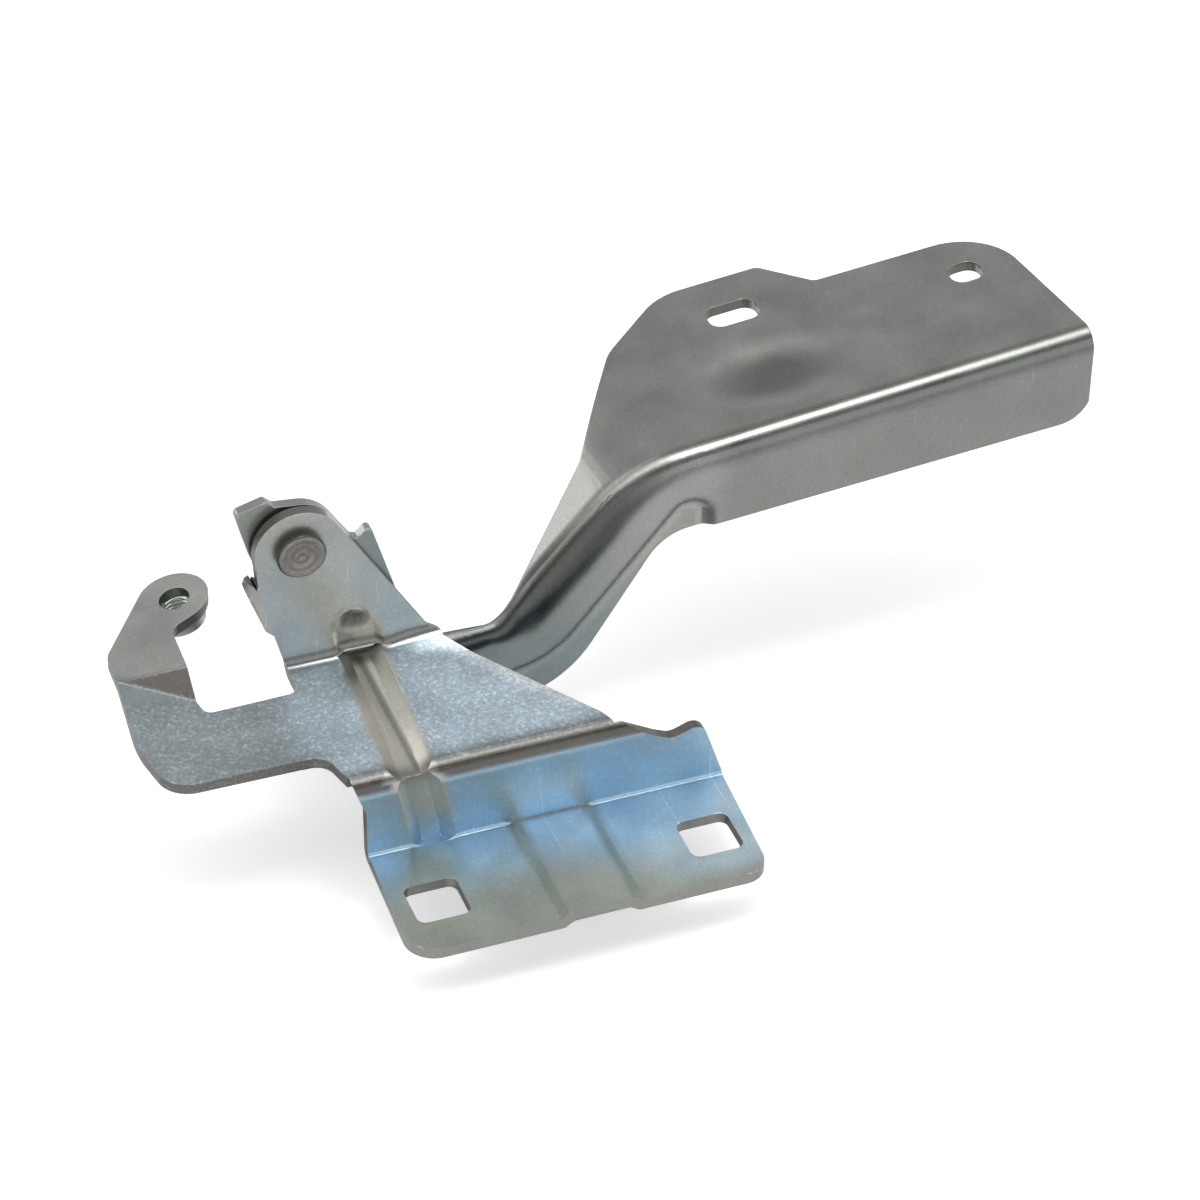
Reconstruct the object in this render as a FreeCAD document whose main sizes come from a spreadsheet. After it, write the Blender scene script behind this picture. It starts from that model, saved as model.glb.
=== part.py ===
import FreeCAD, Part
import math
import os
import Sketcher

# A stamped bonnet hinge in its closed position: body bracket, bonnet arm and riveted pivot.
# X runs along the bend lines, Y away from the foot towards the arm, Z up, all in millimetres.
# The origin is on the underside of the foot, midway between its two square holes.

Vector = FreeCAD.Vector
os.makedirs("parts", exist_ok=True)
doc = FreeCAD.newDocument("bonnet_hinge")
sheet = doc.addObject("Spreadsheet::Sheet", "sizes")
sheet_rows = []


# Driving dimensions, each of which can be set by itself
SIZES = {
    "sheet_t": 3.0,  # thickness of both stampings
    "cut_over": 5.0,  # how far a cutting outline reaches past the metal
    "cut_clear": 1.0,  # how far ahead of the metal a cut starts
    "join": 0.4,  # overlap that makes two shapes one piece
    "pivot_x": -47.4,  # pivot axis, along X
    "pivot_z": 62.0,  # pivot axis, height
    "running_gap": 0.1,  # play beside each rubbing face
    "arm_gap": 1.0,  # gap between ear and arm
    "strip_front": 21.5,  # front face of the upright strip
    "panel_top": 26.0,  # top of the panel
    "ear_front": 73.4,  # front face of the ear
    "foot_near": -17.3,  # near edge of the foot
    "bracket_right": 48.4,  # right end of the strip
    "ear_round": 11.8,  # round top of the ear
    "valley_foot_r": 1.0,  # inner bend between foot and strip
    "ridge_r": 5.0,  # outer bend between strip and panel
    "valley_ear_r": 2.5,  # inner bend between panel and ear
    "side_arm_x": -97.0,  # outer side of the hooked side arm
    "strip_left_x": -50.6,  # left end of the strip where it meets the panel
    "arm_round": 11.5,  # round end of the arm at the pivot
    "arm_bend_r": 0.8,  # inner bend between web and flange
    "arm_end": 175.4,  # free end of the arm, along X
    "web_end_lean": 0.8,  # how far the web's lower corner stands past that end
    "web_floor": -20.0,  # level below the lowest point of the arm
    "flange_width": 69.9,  # widest part of the flange, from the web's front face
    "flange_notch": 13.4,  # how much narrower the flange is beyond the slot
    "ear_right_foot": -10.1,  # right foot of the ear
    "ear_left_foot": -52.0,  # left foot of the ear
    "stop_low": 36.6,  # lower end of the opening stop
    "stop_high": 53.8,  # upper end of the opening stop
    "stop_reach": 5.2,  # width of the stop flap
    "stop_root_x": -54.9,  # root of the stop flap
    "stop_inside": 2.4,  # how far the flap's blank reaches into the ear
    "stop_notch_x": -58.75,  # notch between the stop flap and the round of the ear
    "stop_notch_z": 52.0,  # lowest point of that notch
    "lug_base_x": -94.6,  # line where the lug plane leaves the panel plane
    "lug_hole_r": 4.1,  # hole of the lug, radius
    "lug_hole_x": 22.6,  # hole of the lug, along its own plane
    "lug_hole_y": 103.6,  # hole of the lug, along Y
    "lug_round": 9.6,  # round end of the lug
    "lug_round_x": 22.2,  # middle of the round end, along its own plane
    "lug_round_y": 103.9,  # middle of the round end, along Y
    "facet_far_y": 77.1,  # far corner of the sloping facet, along Y
    "lug_width": 18.06,  # width of the lug at its neck
    "ramp_rise": 1.6,  # height of the pressed ramp
    "ramp_left": -10.5,  # left foot of the ramp
    "ramp_right": 12.5,  # right foot of the ramp
    "ramp_side": 2.9,  # width of each sloping side of the ramp
    "ramp_inset": 1.2,  # how much narrower the ramp is on its underside
    "channel_depth": 2.2,  # depth of the pressed channel
    "channel_half": 6.4,  # half width of the channel at its mouth
    "channel_floor": 2.6,  # half width of the channel floor
    "panel_channel_x": -35.2,  # channel middle at the ridge
    "panel_drift": 2.9,  # sideways run of the channel from ridge to ear
    "strip_channel_x": -34.6,  # channel middle at the top of the strip
    "strip_drift": 4.8,  # sideways run of the channel down the strip
    "bead_spare": 0.4,  # how much wider the bead is behind than the groove in front
    "square_x": 36.5,  # square holes either side of the middle
    "square_half": 7.0,  # half the side of a square hole
    "square_r": 2.4,  # corner radius of a square hole
    "tenon_r": 4.0,  # rivet tenon in the ear, radius
    "bush_outer_r": 6.0,  # pivot bush, outer radius
    "step_depth": 2.0,  # how far the strip below the gooseneck steps back
    "flange_cut_from": 90.0,  # height that the flange is cut from
    "flange_cut_to": 5.0,  # height that the flange is cut to
    "slot_x": 93.6,  # slot middle, along X
    "slot_beyond": 53.6,  # slot middle, from the web's front face
    "hole_inset": 18.9,  # short hole middle, from the end of the arm
    "hole_beyond": 41.6,  # short hole middle, from the web's front face
    "slot_half": 7.2,  # half the length of the slot
    "slot_wide": 4.6,  # half the width of the slot
    "slot_r": 3.6,  # corner radius of the slot
    "hole_half": 4.6,  # half the length of the short hole
    "hole_wide": 4.2,  # half the width of the short hole
    "hole_r": 3.6,  # corner radius of the short hole
    "shoulder_r": 5.0,  # rivet shoulder, radius
    "bush_clear": 0.05,  # radial play between rivet and bush
    "rivet_head_r": 6.5,  # front head of the rivet, radius
    "rivet_head_t": 2.8,  # front head of the rivet, height
    "rear_head_r": 8.0,  # rear head of the rivet, radius
    "rear_head_t": 2.5,  # rear head of the rivet, height
    "washer_r": 8.5,  # thrust washer, radius
    "washer_t": 1.0,  # thrust washer, thickness
    "bush_flange_r": 8.0,  # bush flange, radius
    "nut_r": 6.8,  # weld nut, radius
    "nut_t": 5.0,  # weld nut, height
    "nut_bore_r": 3.4,  # weld nut, radius of the threaded bore
    "nut_chamfer": 0.7,  # weld nut, chamfer of its free end
    "head_edge": 0.9,  # rounding of the rivet heads
    "dimple_r": 2.6,  # dimple in the front head, radius
    "dimple_deep": 0.5,  # dimple in the front head, depth
}


class Size:
    """A number together with the spreadsheet formula that gives it."""

    def __init__(self, value, text):
        self.value = float(value)
        self.text = text

    def __add__(self, other):
        other = as_size(other)
        return Size(self.value + other.value, "(%s + %s)" % (self.text, other.text))

    def __sub__(self, other):
        other = as_size(other)
        return Size(self.value - other.value, "(%s - %s)" % (self.text, other.text))

    def __mul__(self, other):
        other = as_size(other)
        return Size(self.value * other.value, "(%s * %s)" % (self.text, other.text))

    def __truediv__(self, other):
        other = as_size(other)
        return Size(self.value / other.value, "(%s / %s)" % (self.text, other.text))

    def __neg__(self):
        return Size(-self.value, "(0 - %s)" % self.text)


def as_size(number):
    """Give a plain number the same form as a named size."""
    if isinstance(number, Size):
        return number
    return Size(number, "(%.6f)" % number)


def named(alias, number):
    """Write one named value into the spreadsheet and return it as a size."""
    row = len(sheet_rows) + 1
    sheet_rows.append(alias)
    sheet.set("A%d" % row, alias.replace("_", " "))
    sheet.set("B%d" % row, "%.4f" % number)
    sheet.setAlias("B%d" % row, alias)
    return Size(number, "sizes.%s" % alias)


def listed(alias):
    """Write one of the driving dimensions into the spreadsheet."""
    return named(alias, SIZES[alias])


def corner(name, across, along, rounding=0):
    """One corner of an outline: its place, and the radius that rounds it."""
    if not isinstance(across, Size):
        across = named(name + "_a", across)
    if not isinstance(along, Size):
        along = named(name + "_b", along)
    if not isinstance(rounding, Size) and rounding > 0:
        rounding = named(name + "_r", rounding)
    return ("corner", across, along, as_size(rounding))


def hub(across, along, radius):
    """A full round in an outline, which the straight edges leave at a tangent."""
    return ("hub", across, along, radius)


# Sheet and pivot
nothing = as_size(0)
sheet_t = listed("sheet_t")
cut_over = listed("cut_over")
cut_clear = listed("cut_clear")
join = listed("join")
pivot_x = listed("pivot_x")
pivot_z = listed("pivot_z")
running_gap = listed("running_gap")
arm_gap = listed("arm_gap")

# Planes of the bracket
strip_front = listed("strip_front")
panel_top = listed("panel_top")
ear_front = listed("ear_front")
foot_near = listed("foot_near")
bracket_right = listed("bracket_right")
ear_round = listed("ear_round")
valley_foot_r = listed("valley_foot_r")
ridge_r = listed("ridge_r")
valley_ear_r = listed("valley_ear_r")
side_arm_x = listed("side_arm_x")
strip_left_x = listed("strip_left_x")
strip_back = strip_front + sheet_t
panel_under = panel_top - sheet_t
ear_back = ear_front + sheet_t

# Planes of the arm
arm_front = ear_back + arm_gap
arm_back = arm_front + sheet_t
arm_round = listed("arm_round")
arm_bend_r = listed("arm_bend_r")
arm_end = listed("arm_end")
web_end_lean = listed("web_end_lean")
web_floor = listed("web_floor")
flange_width = listed("flange_width")
flange_notch = listed("flange_notch")


def edge_direction(start, end):
    """Direction of the straight edge that leaves one round and meets the next."""
    gap_a = end[1].value - start[1].value
    gap_b = end[2].value - start[2].value
    start_r = start[3].value if start[0] == "hub" else 0.0
    end_r = end[3].value if end[0] == "hub" else 0.0
    lean = math.asin((end_r - start_r) / math.hypot(gap_a, gap_b))
    angle = math.atan2(gap_b, gap_a) - lean
    return Vector(math.cos(angle), math.sin(angle), 0)


def left_of(direction):
    """The direction turned a quarter turn to the left."""
    return Vector(-direction.y, direction.x, 0)


def draw_loop(sketch, nodes):
    """Draw one closed outline of straight edges and tangent arcs, fixed by named sizes."""
    count = len(nodes)
    directions = [edge_direction(nodes[i], nodes[(i + 1) % count]) for i in range(count)]
    joins = []
    for i, node in enumerate(nodes):
        kind, across, along, radius = node
        place = Vector(across.value, along.value, 0)
        incoming = directions[i - 1]
        outgoing = directions[i]
        if kind == "hub":
            first = place - left_of(incoming) * radius.value
            last = place - left_of(outgoing) * radius.value
            joins.append((first, last, place, 1.0, incoming, outgoing))
        elif radius.value > 0:
            turn = math.atan2(incoming.cross(outgoing).z, incoming.dot(outgoing))
            side = math.copysign(1.0, turn)
            back_off = radius.value * math.tan(abs(turn) / 2)
            first = place - incoming * back_off
            last = place + outgoing * back_off
            centre = first + left_of(incoming) * radius.value * side
            joins.append((first, last, centre, side, incoming, outgoing))
        else:
            joins.append((place, place, None, 0.0, incoming, outgoing))
    geometry = []
    line_ids = []
    arc_ids = {}
    base = sketch.GeometryCount
    for i in range(count):
        start = joins[i][1]
        end = joins[(i + 1) % count][0]
        line_ids.append(base + len(geometry))
        geometry.append(Part.LineSegment(start, end))
    for i in range(count):
        first, last, centre, side, incoming, outgoing = joins[i]
        if centre is None:
            continue
        radius = nodes[i][3].value
        circle = Part.Circle(centre, Vector(0, 0, 1), radius)
        from_point = first if side > 0 else last
        to_point = last if side > 0 else first
        from_angle = math.atan2(from_point.y - centre.y, from_point.x - centre.x)
        to_angle = math.atan2(to_point.y - centre.y, to_point.x - centre.x)
        if to_angle <= from_angle:
            to_angle += 2 * math.pi
        arc_ids[i] = base + len(geometry)
        geometry.append(Part.ArcOfCircle(circle, from_angle, to_angle))
    sketch.addGeometry(geometry, False)
    constraints = []
    formulas = []

    def measure(kind, geo, pos, size):
        """Fix one measure of the drawing by a named size."""
        if pos is None:
            constraints.append(Sketcher.Constraint(kind, geo, size.value))
        else:
            constraints.append(Sketcher.Constraint(kind, -1, 1, geo, pos, size.value))
        formulas.append((len(constraints) - 1, size.text))

    for i in range(count):
        kind, across, along, radius = nodes[i]
        side = joins[i][3]
        before = line_ids[i - 1]
        after = line_ids[i]
        if i not in arc_ids:
            constraints.append(Sketcher.Constraint("Coincident", before, 2, after, 1))
            measure("DistanceX", after, 1, across)
            measure("DistanceY", after, 1, along)
            continue
        arc = arc_ids[i]
        arc_in = 1 if side > 0 else 2
        arc_out = 2 if side > 0 else 1
        constraints.append(Sketcher.Constraint("Tangent", before, 2, arc, arc_in))
        constraints.append(Sketcher.Constraint("Tangent", after, 1, arc, arc_out))
        measure("Radius", arc, None, radius)
        if kind == "hub":
            measure("DistanceX", arc, 3, across)
            measure("DistanceY", arc, 3, along)
            continue
        tip = sketch.addGeometry(Part.Point(Vector(across.value, along.value, 0)), True)
        measure("DistanceX", tip, 1, across)
        measure("DistanceY", tip, 1, along)
        constraints.append(Sketcher.Constraint("PointOnObject", tip, 1, before))
        constraints.append(Sketcher.Constraint("PointOnObject", tip, 1, after))
    first_id = sketch.ConstraintCount
    sketch.addConstraint(constraints)
    for index, text in formulas:
        sketch.setExpression("Constraints[%d]" % (first_id + index), text)


def draw_circle(sketch, across, along, radius):
    """Draw one circle, fixed by named sizes."""
    circle = Part.Circle(Vector(across.value, along.value, 0), Vector(0, 0, 1), radius.value)
    geo = sketch.addGeometry(circle, False)
    first_id = sketch.ConstraintCount
    sketch.addConstraint([
        Sketcher.Constraint("DistanceX", -1, 1, geo, 3, across.value),
        Sketcher.Constraint("DistanceY", -1, 1, geo, 3, along.value),
        Sketcher.Constraint("Radius", geo, radius.value),
    ])
    for index, size in enumerate((across, along, radius)):
        sketch.setExpression("Constraints[%d]" % (first_id + index), size.text)


def plane_of(body, role):
    """Find one of the body's own origin planes."""
    for feature in body.Origin.OriginFeatures:
        if feature.Role == role:
            return feature
    raise ValueError("no such plane: " + role)


def new_sketch(body, name, role, level, loops=(), circles=()):
    """Start a sketch on an origin plane, moved to the level along that plane's own normal."""
    sketch = body.newObject("Sketcher::SketchObject", name)
    sketch.AttachmentSupport = [(plane_of(body, role), "")]
    sketch.MapMode = "FlatFace"
    level = as_size(level)
    sketch.AttachmentOffset = FreeCAD.Placement(Vector(0, 0, level.value), FreeCAD.Rotation())
    sketch.setExpression("AttachmentOffset.Base.z", level.text)
    for loop in loops:
        draw_loop(sketch, loop)
    for circle in circles:
        draw_circle(sketch, *circle)
    return sketch


def solid_feature(body, kind, name, sketch, length, direction=None, backward=False):
    """Add or remove metal from a sketch."""
    feature = body.newObject("PartDesign::" + kind, name)
    feature.Profile = sketch
    length = as_size(length)
    feature.Length = length.value
    feature.setExpression("Length", length.text)
    feature.Reversed = backward
    if direction is not None:
        feature.UseCustomVector = True
        feature.Direction = direction
        feature.AlongSketchNormal = False
    body.Tip = feature
    return feature


def pad(body, name, sketch, length, direction=None, backward=False):
    """Add metal."""
    return solid_feature(body, "Pad", name, sketch, length, direction, backward)


def pocket(body, name, sketch, length, direction=None, backward=False):
    """Cut metal away."""
    return solid_feature(body, "Pocket", name, sketch, length, direction, backward)


def rectangle(name, low_a, low_b, high_a, high_b):
    """A plain rectangle from two opposite corners."""
    return [
        corner(name + "_1", low_a, low_b),
        corner(name + "_2", high_a, low_b),
        corner(name + "_3", high_a, high_b),
        corner(name + "_4", low_a, high_b),
    ]


# Body bracket: one bent section along X
bracket = doc.addObject("PartDesign::Body", "body_bracket")
bracket.Label = "body_bracket"
ear_left_limit = pivot_x - ear_round - join
ear_blank_top = pivot_z + ear_round + cut_clear
section = [
    corner("section_toe", foot_near, nothing),
    corner("section_heel", strip_back, nothing, valley_foot_r + sheet_t),
    corner("section_ridge_in", strip_back, panel_under, ridge_r - sheet_t),
    corner("section_ear_out", ear_back, panel_under, valley_ear_r + sheet_t),
    corner("section_ear_back", ear_back, ear_blank_top),
    corner("section_ear_front", ear_front, ear_blank_top),
    corner("section_ear_in", ear_front, panel_top, valley_ear_r),
    corner("section_ridge_out", strip_front, panel_top, ridge_r),
    corner("section_valley", strip_front, sheet_t, valley_foot_r),
    corner("section_toe_top", foot_near, sheet_t),
]
section_sketch = new_sketch(bracket, "section_sketch", "YZ_Plane", ear_left_limit, [section])
pad(bracket, "section_pad", section_sketch, bracket_right - ear_left_limit)

# Body bracket: plan outline of foot, panel and ear
ear_right_foot = listed("ear_right_foot")
ear_left_foot = listed("ear_left_foot")
blank_left = ear_left_limit - cut_over
plan = [
    corner("foot_left_near", -48.9, foot_near, 8.0),
    corner("foot_right_near", 46.2, foot_near, 6.5),
    corner("foot_right_valley", bracket_right, strip_front),
    corner("strip_right_back", bracket_right + cut_over, strip_back),
    corner("panel_right_ridge", 19.6, strip_back),
    corner("panel_right_turn", 17.9, 29.0, 6.0),
    corner("panel_right_ear", ear_right_foot, 70.4),
    corner("ear_plan_right", ear_right_foot, ear_back + cut_over),
    corner("ear_plan_left", blank_left, ear_back + cut_over),
    corner("ear_plan_left_low", blank_left, ear_front - valley_ear_r),
    corner("notch_ear", ear_left_foot, ear_front - valley_ear_r),
    corner("notch_corner", ear_left_foot, 62.3, 3.0),
    corner("side_arm_back", blank_left, 62.2),
    corner("side_arm_front", blank_left, 36.2),
    corner("side_arm_root", -53.6, 36.0, 5.0),
    corner("strip_left_root", strip_left_x, strip_back),
    corner("strip_left_front", -52.5, strip_front),
    corner("foot_left_valley", -47.3, strip_front),
]
plan_frame = rectangle(
    "plan_frame",
    blank_left - cut_over,
    foot_near - cut_over,
    bracket_right + cut_over * 2,
    ear_back + cut_over * 2,
)
plan_sketch = new_sketch(bracket, "plan_sketch", "XY_Plane", ear_blank_top + cut_over, [plan_frame, plan])
pocket(bracket, "plan_cut", plan_sketch, ear_blank_top + cut_over * 2)

# Body bracket: ends of the upright strip, cut from the front
strip_right = [
    corner("strip_end_panel", 20.0, panel_top + join),
    corner("strip_end_slope", 30.4, 20.3, 4.0),
    corner("strip_end_dip", 34.6, 18.4, 4.0),
    corner("strip_end_crest", 42.6, 21.4, 3.5),
    corner("strip_end_foot", bracket_right, sheet_t + cut_clear),
    corner("strip_end_out_low", bracket_right + cut_over, sheet_t + cut_clear),
    corner("strip_end_out_high", bracket_right + cut_over, panel_top + cut_over),
]
strip_right.append(corner("strip_end_out_panel", strip_right[0][1], panel_top + cut_over))
strip_left = [
    corner("strip_left_low", -47.4, -cut_clear),
    corner("strip_left_mid", -47.6, 16.7),
    corner("strip_left_high", strip_left_x, panel_top - join),
    corner("strip_left_top", strip_left_x, panel_top + cut_over),
    corner("strip_left_out", blank_left - cut_over, panel_top + cut_over),
    corner("strip_left_out_low", blank_left - cut_over, -cut_clear),
]
strip_cut_from = strip_front - valley_foot_r - join
strip_sketch = new_sketch(bracket, "strip_sketch", "XZ_Plane", -strip_cut_from, [strip_right, strip_left])
pocket(bracket, "strip_cut", strip_sketch, sheet_t + valley_foot_r + cut_clear * 2)

# Body bracket: outline of the ear, cut from the front
ear_low = panel_under - cut_clear
ear_outline = [
    corner("ear_low_left", ear_left_foot, ear_low),
    corner("ear_low_right", ear_right_foot + cut_over, ear_low),
    corner("ear_step_right", ear_right_foot + cut_over, panel_top + join / 2),
    corner("ear_foot_right", ear_right_foot, panel_top + join / 2),
    corner("ear_side_right", -13.0, 28.0, 3.0),
    hub(pivot_x, pivot_z, ear_round),
    corner("ear_stop_notch", -58.3, 51.6),
    corner("ear_stop_root", -54.7, 37.0),
    corner("ear_side_left", -51.9, panel_top + join / 2),
]
ear_frame = rectangle(
    "ear_frame",
    blank_left - cut_over,
    ear_low - cut_clear,
    ear_right_foot + cut_over * 2,
    ear_blank_top + cut_over,
)
ear_cut_from = ear_front - valley_ear_r
ear_sketch = new_sketch(bracket, "ear_sketch", "XZ_Plane", -ear_cut_from, [ear_frame, ear_outline])
pocket(bracket, "ear_cut", ear_sketch, sheet_t + cut_over)

# Body bracket: opening stop, a flap bent back from the left edge of the ear
stop_low = listed("stop_low")
stop_high = listed("stop_high")
stop_reach = listed("stop_reach")
stop_root_x = listed("stop_root_x")
stop_inside = listed("stop_inside")
stop_notch_x = listed("stop_notch_x")
stop_notch_z = listed("stop_notch_z")
STOP_BEND = math.radians(60.0)
STOP_LEAN = Vector(-3.5, 0, 13.6)
flap_run = math.cos(STOP_BEND)
flap_back = math.sin(STOP_BEND)
stop_section = [
    corner("stop_root_front", stop_root_x + stop_inside, ear_front),
    corner("stop_root_back", stop_root_x + stop_inside, ear_back),
    corner("stop_inner_bend", stop_root_x + sheet_t * ((1 - flap_run) / flap_back), ear_back),
    corner("stop_tip_in", stop_root_x - stop_reach * flap_run + sheet_t * flap_back,
           ear_front + stop_reach * flap_back + sheet_t * flap_run),
    corner("stop_tip_out", stop_root_x - stop_reach * flap_run, ear_front + stop_reach * flap_back),
    corner("stop_outer_bend", stop_root_x, ear_front),
]
stop_sketch = new_sketch(bracket, "stop_sketch", "XY_Plane", stop_low, [stop_section])
pad(bracket, "stop_pad", stop_sketch, stop_high - stop_low, direction=STOP_LEAN)
stop_trim = [
    corner("stop_trim_low", -55.9, stop_low - cut_clear),
    corner("stop_trim_side", -61.7, stop_notch_z, 1.6),
    corner("stop_trim_tip", -59.9, stop_high + join, 0.8),
    corner("stop_trim_notch", stop_notch_x, stop_notch_z),
    corner("stop_trim_top", stop_notch_x, stop_high + cut_over),
    corner("stop_trim_out_high", blank_left - cut_over, stop_high + cut_over),
    corner("stop_trim_out_low", blank_left - cut_over, stop_low - cut_clear),
]
stop_trim_sketch = new_sketch(
    bracket, "stop_trim_sketch", "XZ_Plane", -(ear_front - cut_clear), [stop_trim])
pocket(bracket, "stop_trim_cut", stop_trim_sketch, sheet_t * 2 + cut_over)

# Body bracket: the hooked side arm, level with the panel
side_arm = [
    corner("side_near_left", -93.4, 36.6, 8.5),
    corner("side_near_root", ear_left_limit + cut_clear, 36.2),
    corner("side_far_root", ear_left_limit + cut_clear, 62.2),
    corner("side_notch", -76.7, 61.9, 2.5),
    corner("crease_right", -77.6, 67.3),
    corner("crease_left", -94.5, 81.5),
    corner("side_outer", side_arm_x, 55.0, 40.0),
]
side_sketch = new_sketch(bracket, "side_sketch", "XY_Plane", panel_top, [side_arm])
pad(bracket, "side_pad", side_sketch, sheet_t, backward=True)

# Body bracket: the raised lug, a tilted plate joined to the side arm by a sloping facet
LUG_TILT = math.radians(13.0)
lug_base_x = listed("lug_base_x")
lug_hole_r = listed("lug_hole_r")
lug_hole_x = listed("lug_hole_x")
lug_hole_y = listed("lug_hole_y")
lug_round = listed("lug_round")
lug_round_x = listed("lug_round_x")
lug_round_y = listed("lug_round_y")
facet_far_y = listed("facet_far_y")
lug_width = listed("lug_width")
DOWN = Vector(0, 0, -1)


def tilted_sketch(body, name, origin, rotation, loops=(), circles=()):
    """A sketch on the ground plane, moved to an origin and turned."""
    sketch = new_sketch(body, name, "XY_Plane", origin[2])
    sketch.AttachmentOffset = FreeCAD.Placement(Vector(*[part.value for part in origin]), rotation)
    for axis, part in zip("xyz", origin):
        sketch.setExpression("AttachmentOffset.Base." + axis, part.text)
    for loop in loops:
        draw_loop(sketch, loop)
    for circle in circles:
        draw_circle(sketch, *circle)
    return sketch


lug_turn = FreeCAD.Rotation(Vector(0, 1, 0), -math.degrees(LUG_TILT))
lug_origin = (lug_base_x, nothing, panel_top)
facet_far = (
    lug_base_x + lug_width * math.cos(LUG_TILT),
    facet_far_y,
    panel_top + lug_width * math.sin(LUG_TILT),
)
lug_outline = [
    corner("lug_left_low", 0.1, 81.5),
    corner("lug_right_low", lug_width, facet_far[1]),
    corner("lug_neck", 18.5, 92.8, 3.5),
    hub(lug_round_x, lug_round_y, lug_round),
    corner("lug_left_high", 0.4, 92.2, 5.0),
]
lug_sketch = tilted_sketch(bracket, "lug_sketch", lug_origin, lug_turn, [lug_outline])
left = Vector(side_arm[5][1].value, side_arm[5][2].value, panel_top.value)
right = Vector(side_arm[4][1].value, side_arm[4][2].value, panel_top.value)
far = Vector(facet_far[0].value, facet_far[1].value, facet_far[2].value)
facet_x = (right - left).normalize()
facet_normal = (right - left).cross(far - left).normalize()
facet_y = facet_normal.cross(facet_x)
facet_turn = FreeCAD.Rotation(facet_x, facet_y, facet_normal, "ZXY")
facet_outline = [
    corner("facet_left", nothing, nothing),
    corner("facet_right", (right - left).dot(facet_x), nothing),
    corner("facet_far", (far - left).dot(facet_x), (far - left).dot(facet_y)),
]
facet_origin = (side_arm[5][1], side_arm[5][2], panel_top)
facet_sketch = tilted_sketch(bracket, "facet_sketch", facet_origin, facet_turn, [facet_outline])
pad(bracket, "facet_pad", facet_sketch, sheet_t, direction=DOWN)
pad(bracket, "lug_pad", lug_sketch, sheet_t, direction=DOWN)
lug_hole_sketch = tilted_sketch(
    bracket, "lug_hole_sketch", lug_origin, lug_turn, circles=[(lug_hole_x, lug_hole_y, lug_hole_r)])
pocket(bracket, "lug_hole", lug_hole_sketch, sheet_t + cut_clear)

# Body bracket: pressed ramp across the foot
ramp_rise = listed("ramp_rise")
ramp_left = listed("ramp_left")
ramp_right = listed("ramp_right")
ramp_side = listed("ramp_side")
ramp_inset = listed("ramp_inset")
ramp_top = [
    corner("ramp_left_low", ramp_left, sheet_t - join / 2),
    corner("ramp_right_low", ramp_right, sheet_t - join / 2),
    corner("ramp_right_top", ramp_right - ramp_side, sheet_t + ramp_rise),
    corner("ramp_left_top", ramp_left + ramp_side, sheet_t + ramp_rise),
]
ramp_under = [
    corner("ramp_under_left", ramp_left + ramp_inset, -join / 2),
    corner("ramp_under_right", ramp_right - ramp_inset, -join / 2),
    corner("ramp_under_right_top", ramp_right - ramp_side - ramp_inset, ramp_rise),
    corner("ramp_under_left_top", ramp_left + ramp_side + ramp_inset, ramp_rise),
]
ramp_length = strip_front - foot_near + join
ramp_sketch = new_sketch(bracket, "ramp_sketch", "XZ_Plane", -(strip_front + join), [ramp_top])
pad(bracket, "ramp_pad", ramp_sketch, ramp_length)
under_sketch = new_sketch(bracket, "ramp_under_sketch", "XZ_Plane", -(strip_front - join), [ramp_under])
pocket(bracket, "ramp_under_cut", under_sketch, ramp_length, backward=True)

# Body bracket: pressed channel down the ear, the panel and the strip
channel_depth = listed("channel_depth")
channel_half = listed("channel_half")
channel_floor = listed("channel_floor")


def channel_section(name, middle, surface, inward, spare):
    """A flat-bottomed groove: middle line, surface level and the way into the metal."""
    mouth = surface - join * inward
    bottom = surface + channel_depth * inward
    points = [
        (middle - channel_half - spare, mouth),
        (middle + channel_half + spare, mouth),
        (middle + channel_floor + spare, bottom),
        (middle - channel_floor - spare, bottom),
    ]
    order = (3, 2, 1, 0) if inward < 0 else (0, 1, 2, 3)
    return [corner("%s_%d" % (name, i), *points[i]) for i in order]


panel_channel_x = listed("panel_channel_x")
panel_drift = listed("panel_drift")
strip_channel_x = listed("strip_channel_x")
strip_drift = listed("strip_drift")
bead_spare = listed("bead_spare")
panel_run = ear_front - strip_back
panel_lean = Vector(panel_drift.value, panel_run.value, 0)
strip_lean = Vector(strip_drift.value, 0, -panel_under.value)
bead_x = panel_channel_x + panel_drift * ((sheet_t + cut_clear) / panel_run)
bead_sketch = new_sketch(
    bracket, "panel_bead_sketch", "XZ_Plane", -strip_back,
    [channel_section("panel_bead", bead_x, panel_under, -1, bead_spare)])
pad(bracket, "panel_bead", bead_sketch, panel_run + cut_clear, direction=panel_lean)
bead_sketch = new_sketch(
    bracket, "strip_bead_sketch", "XY_Plane", panel_under + cut_clear,
    [channel_section("strip_bead", strip_channel_x, strip_back, 1, bead_spare)])
pad(bracket, "strip_bead", bead_sketch, panel_under - cut_clear, direction=strip_lean)
groove_sketch = new_sketch(
    bracket, "panel_groove_sketch", "XZ_Plane", -(strip_front - cut_clear),
    [channel_section("panel_groove", panel_channel_x, panel_top, -1, nothing)])
groove_length = ear_front - strip_front + cut_clear + join
pocket(bracket, "panel_groove", groove_sketch, groove_length, direction=panel_lean)
groove_sketch = new_sketch(
    bracket, "strip_groove_sketch", "XY_Plane", panel_top + cut_clear,
    [channel_section("strip_groove", strip_channel_x, strip_front, 1, nothing)])
pocket(bracket, "strip_groove", groove_sketch, panel_under + cut_clear - join, direction=strip_lean)

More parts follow.
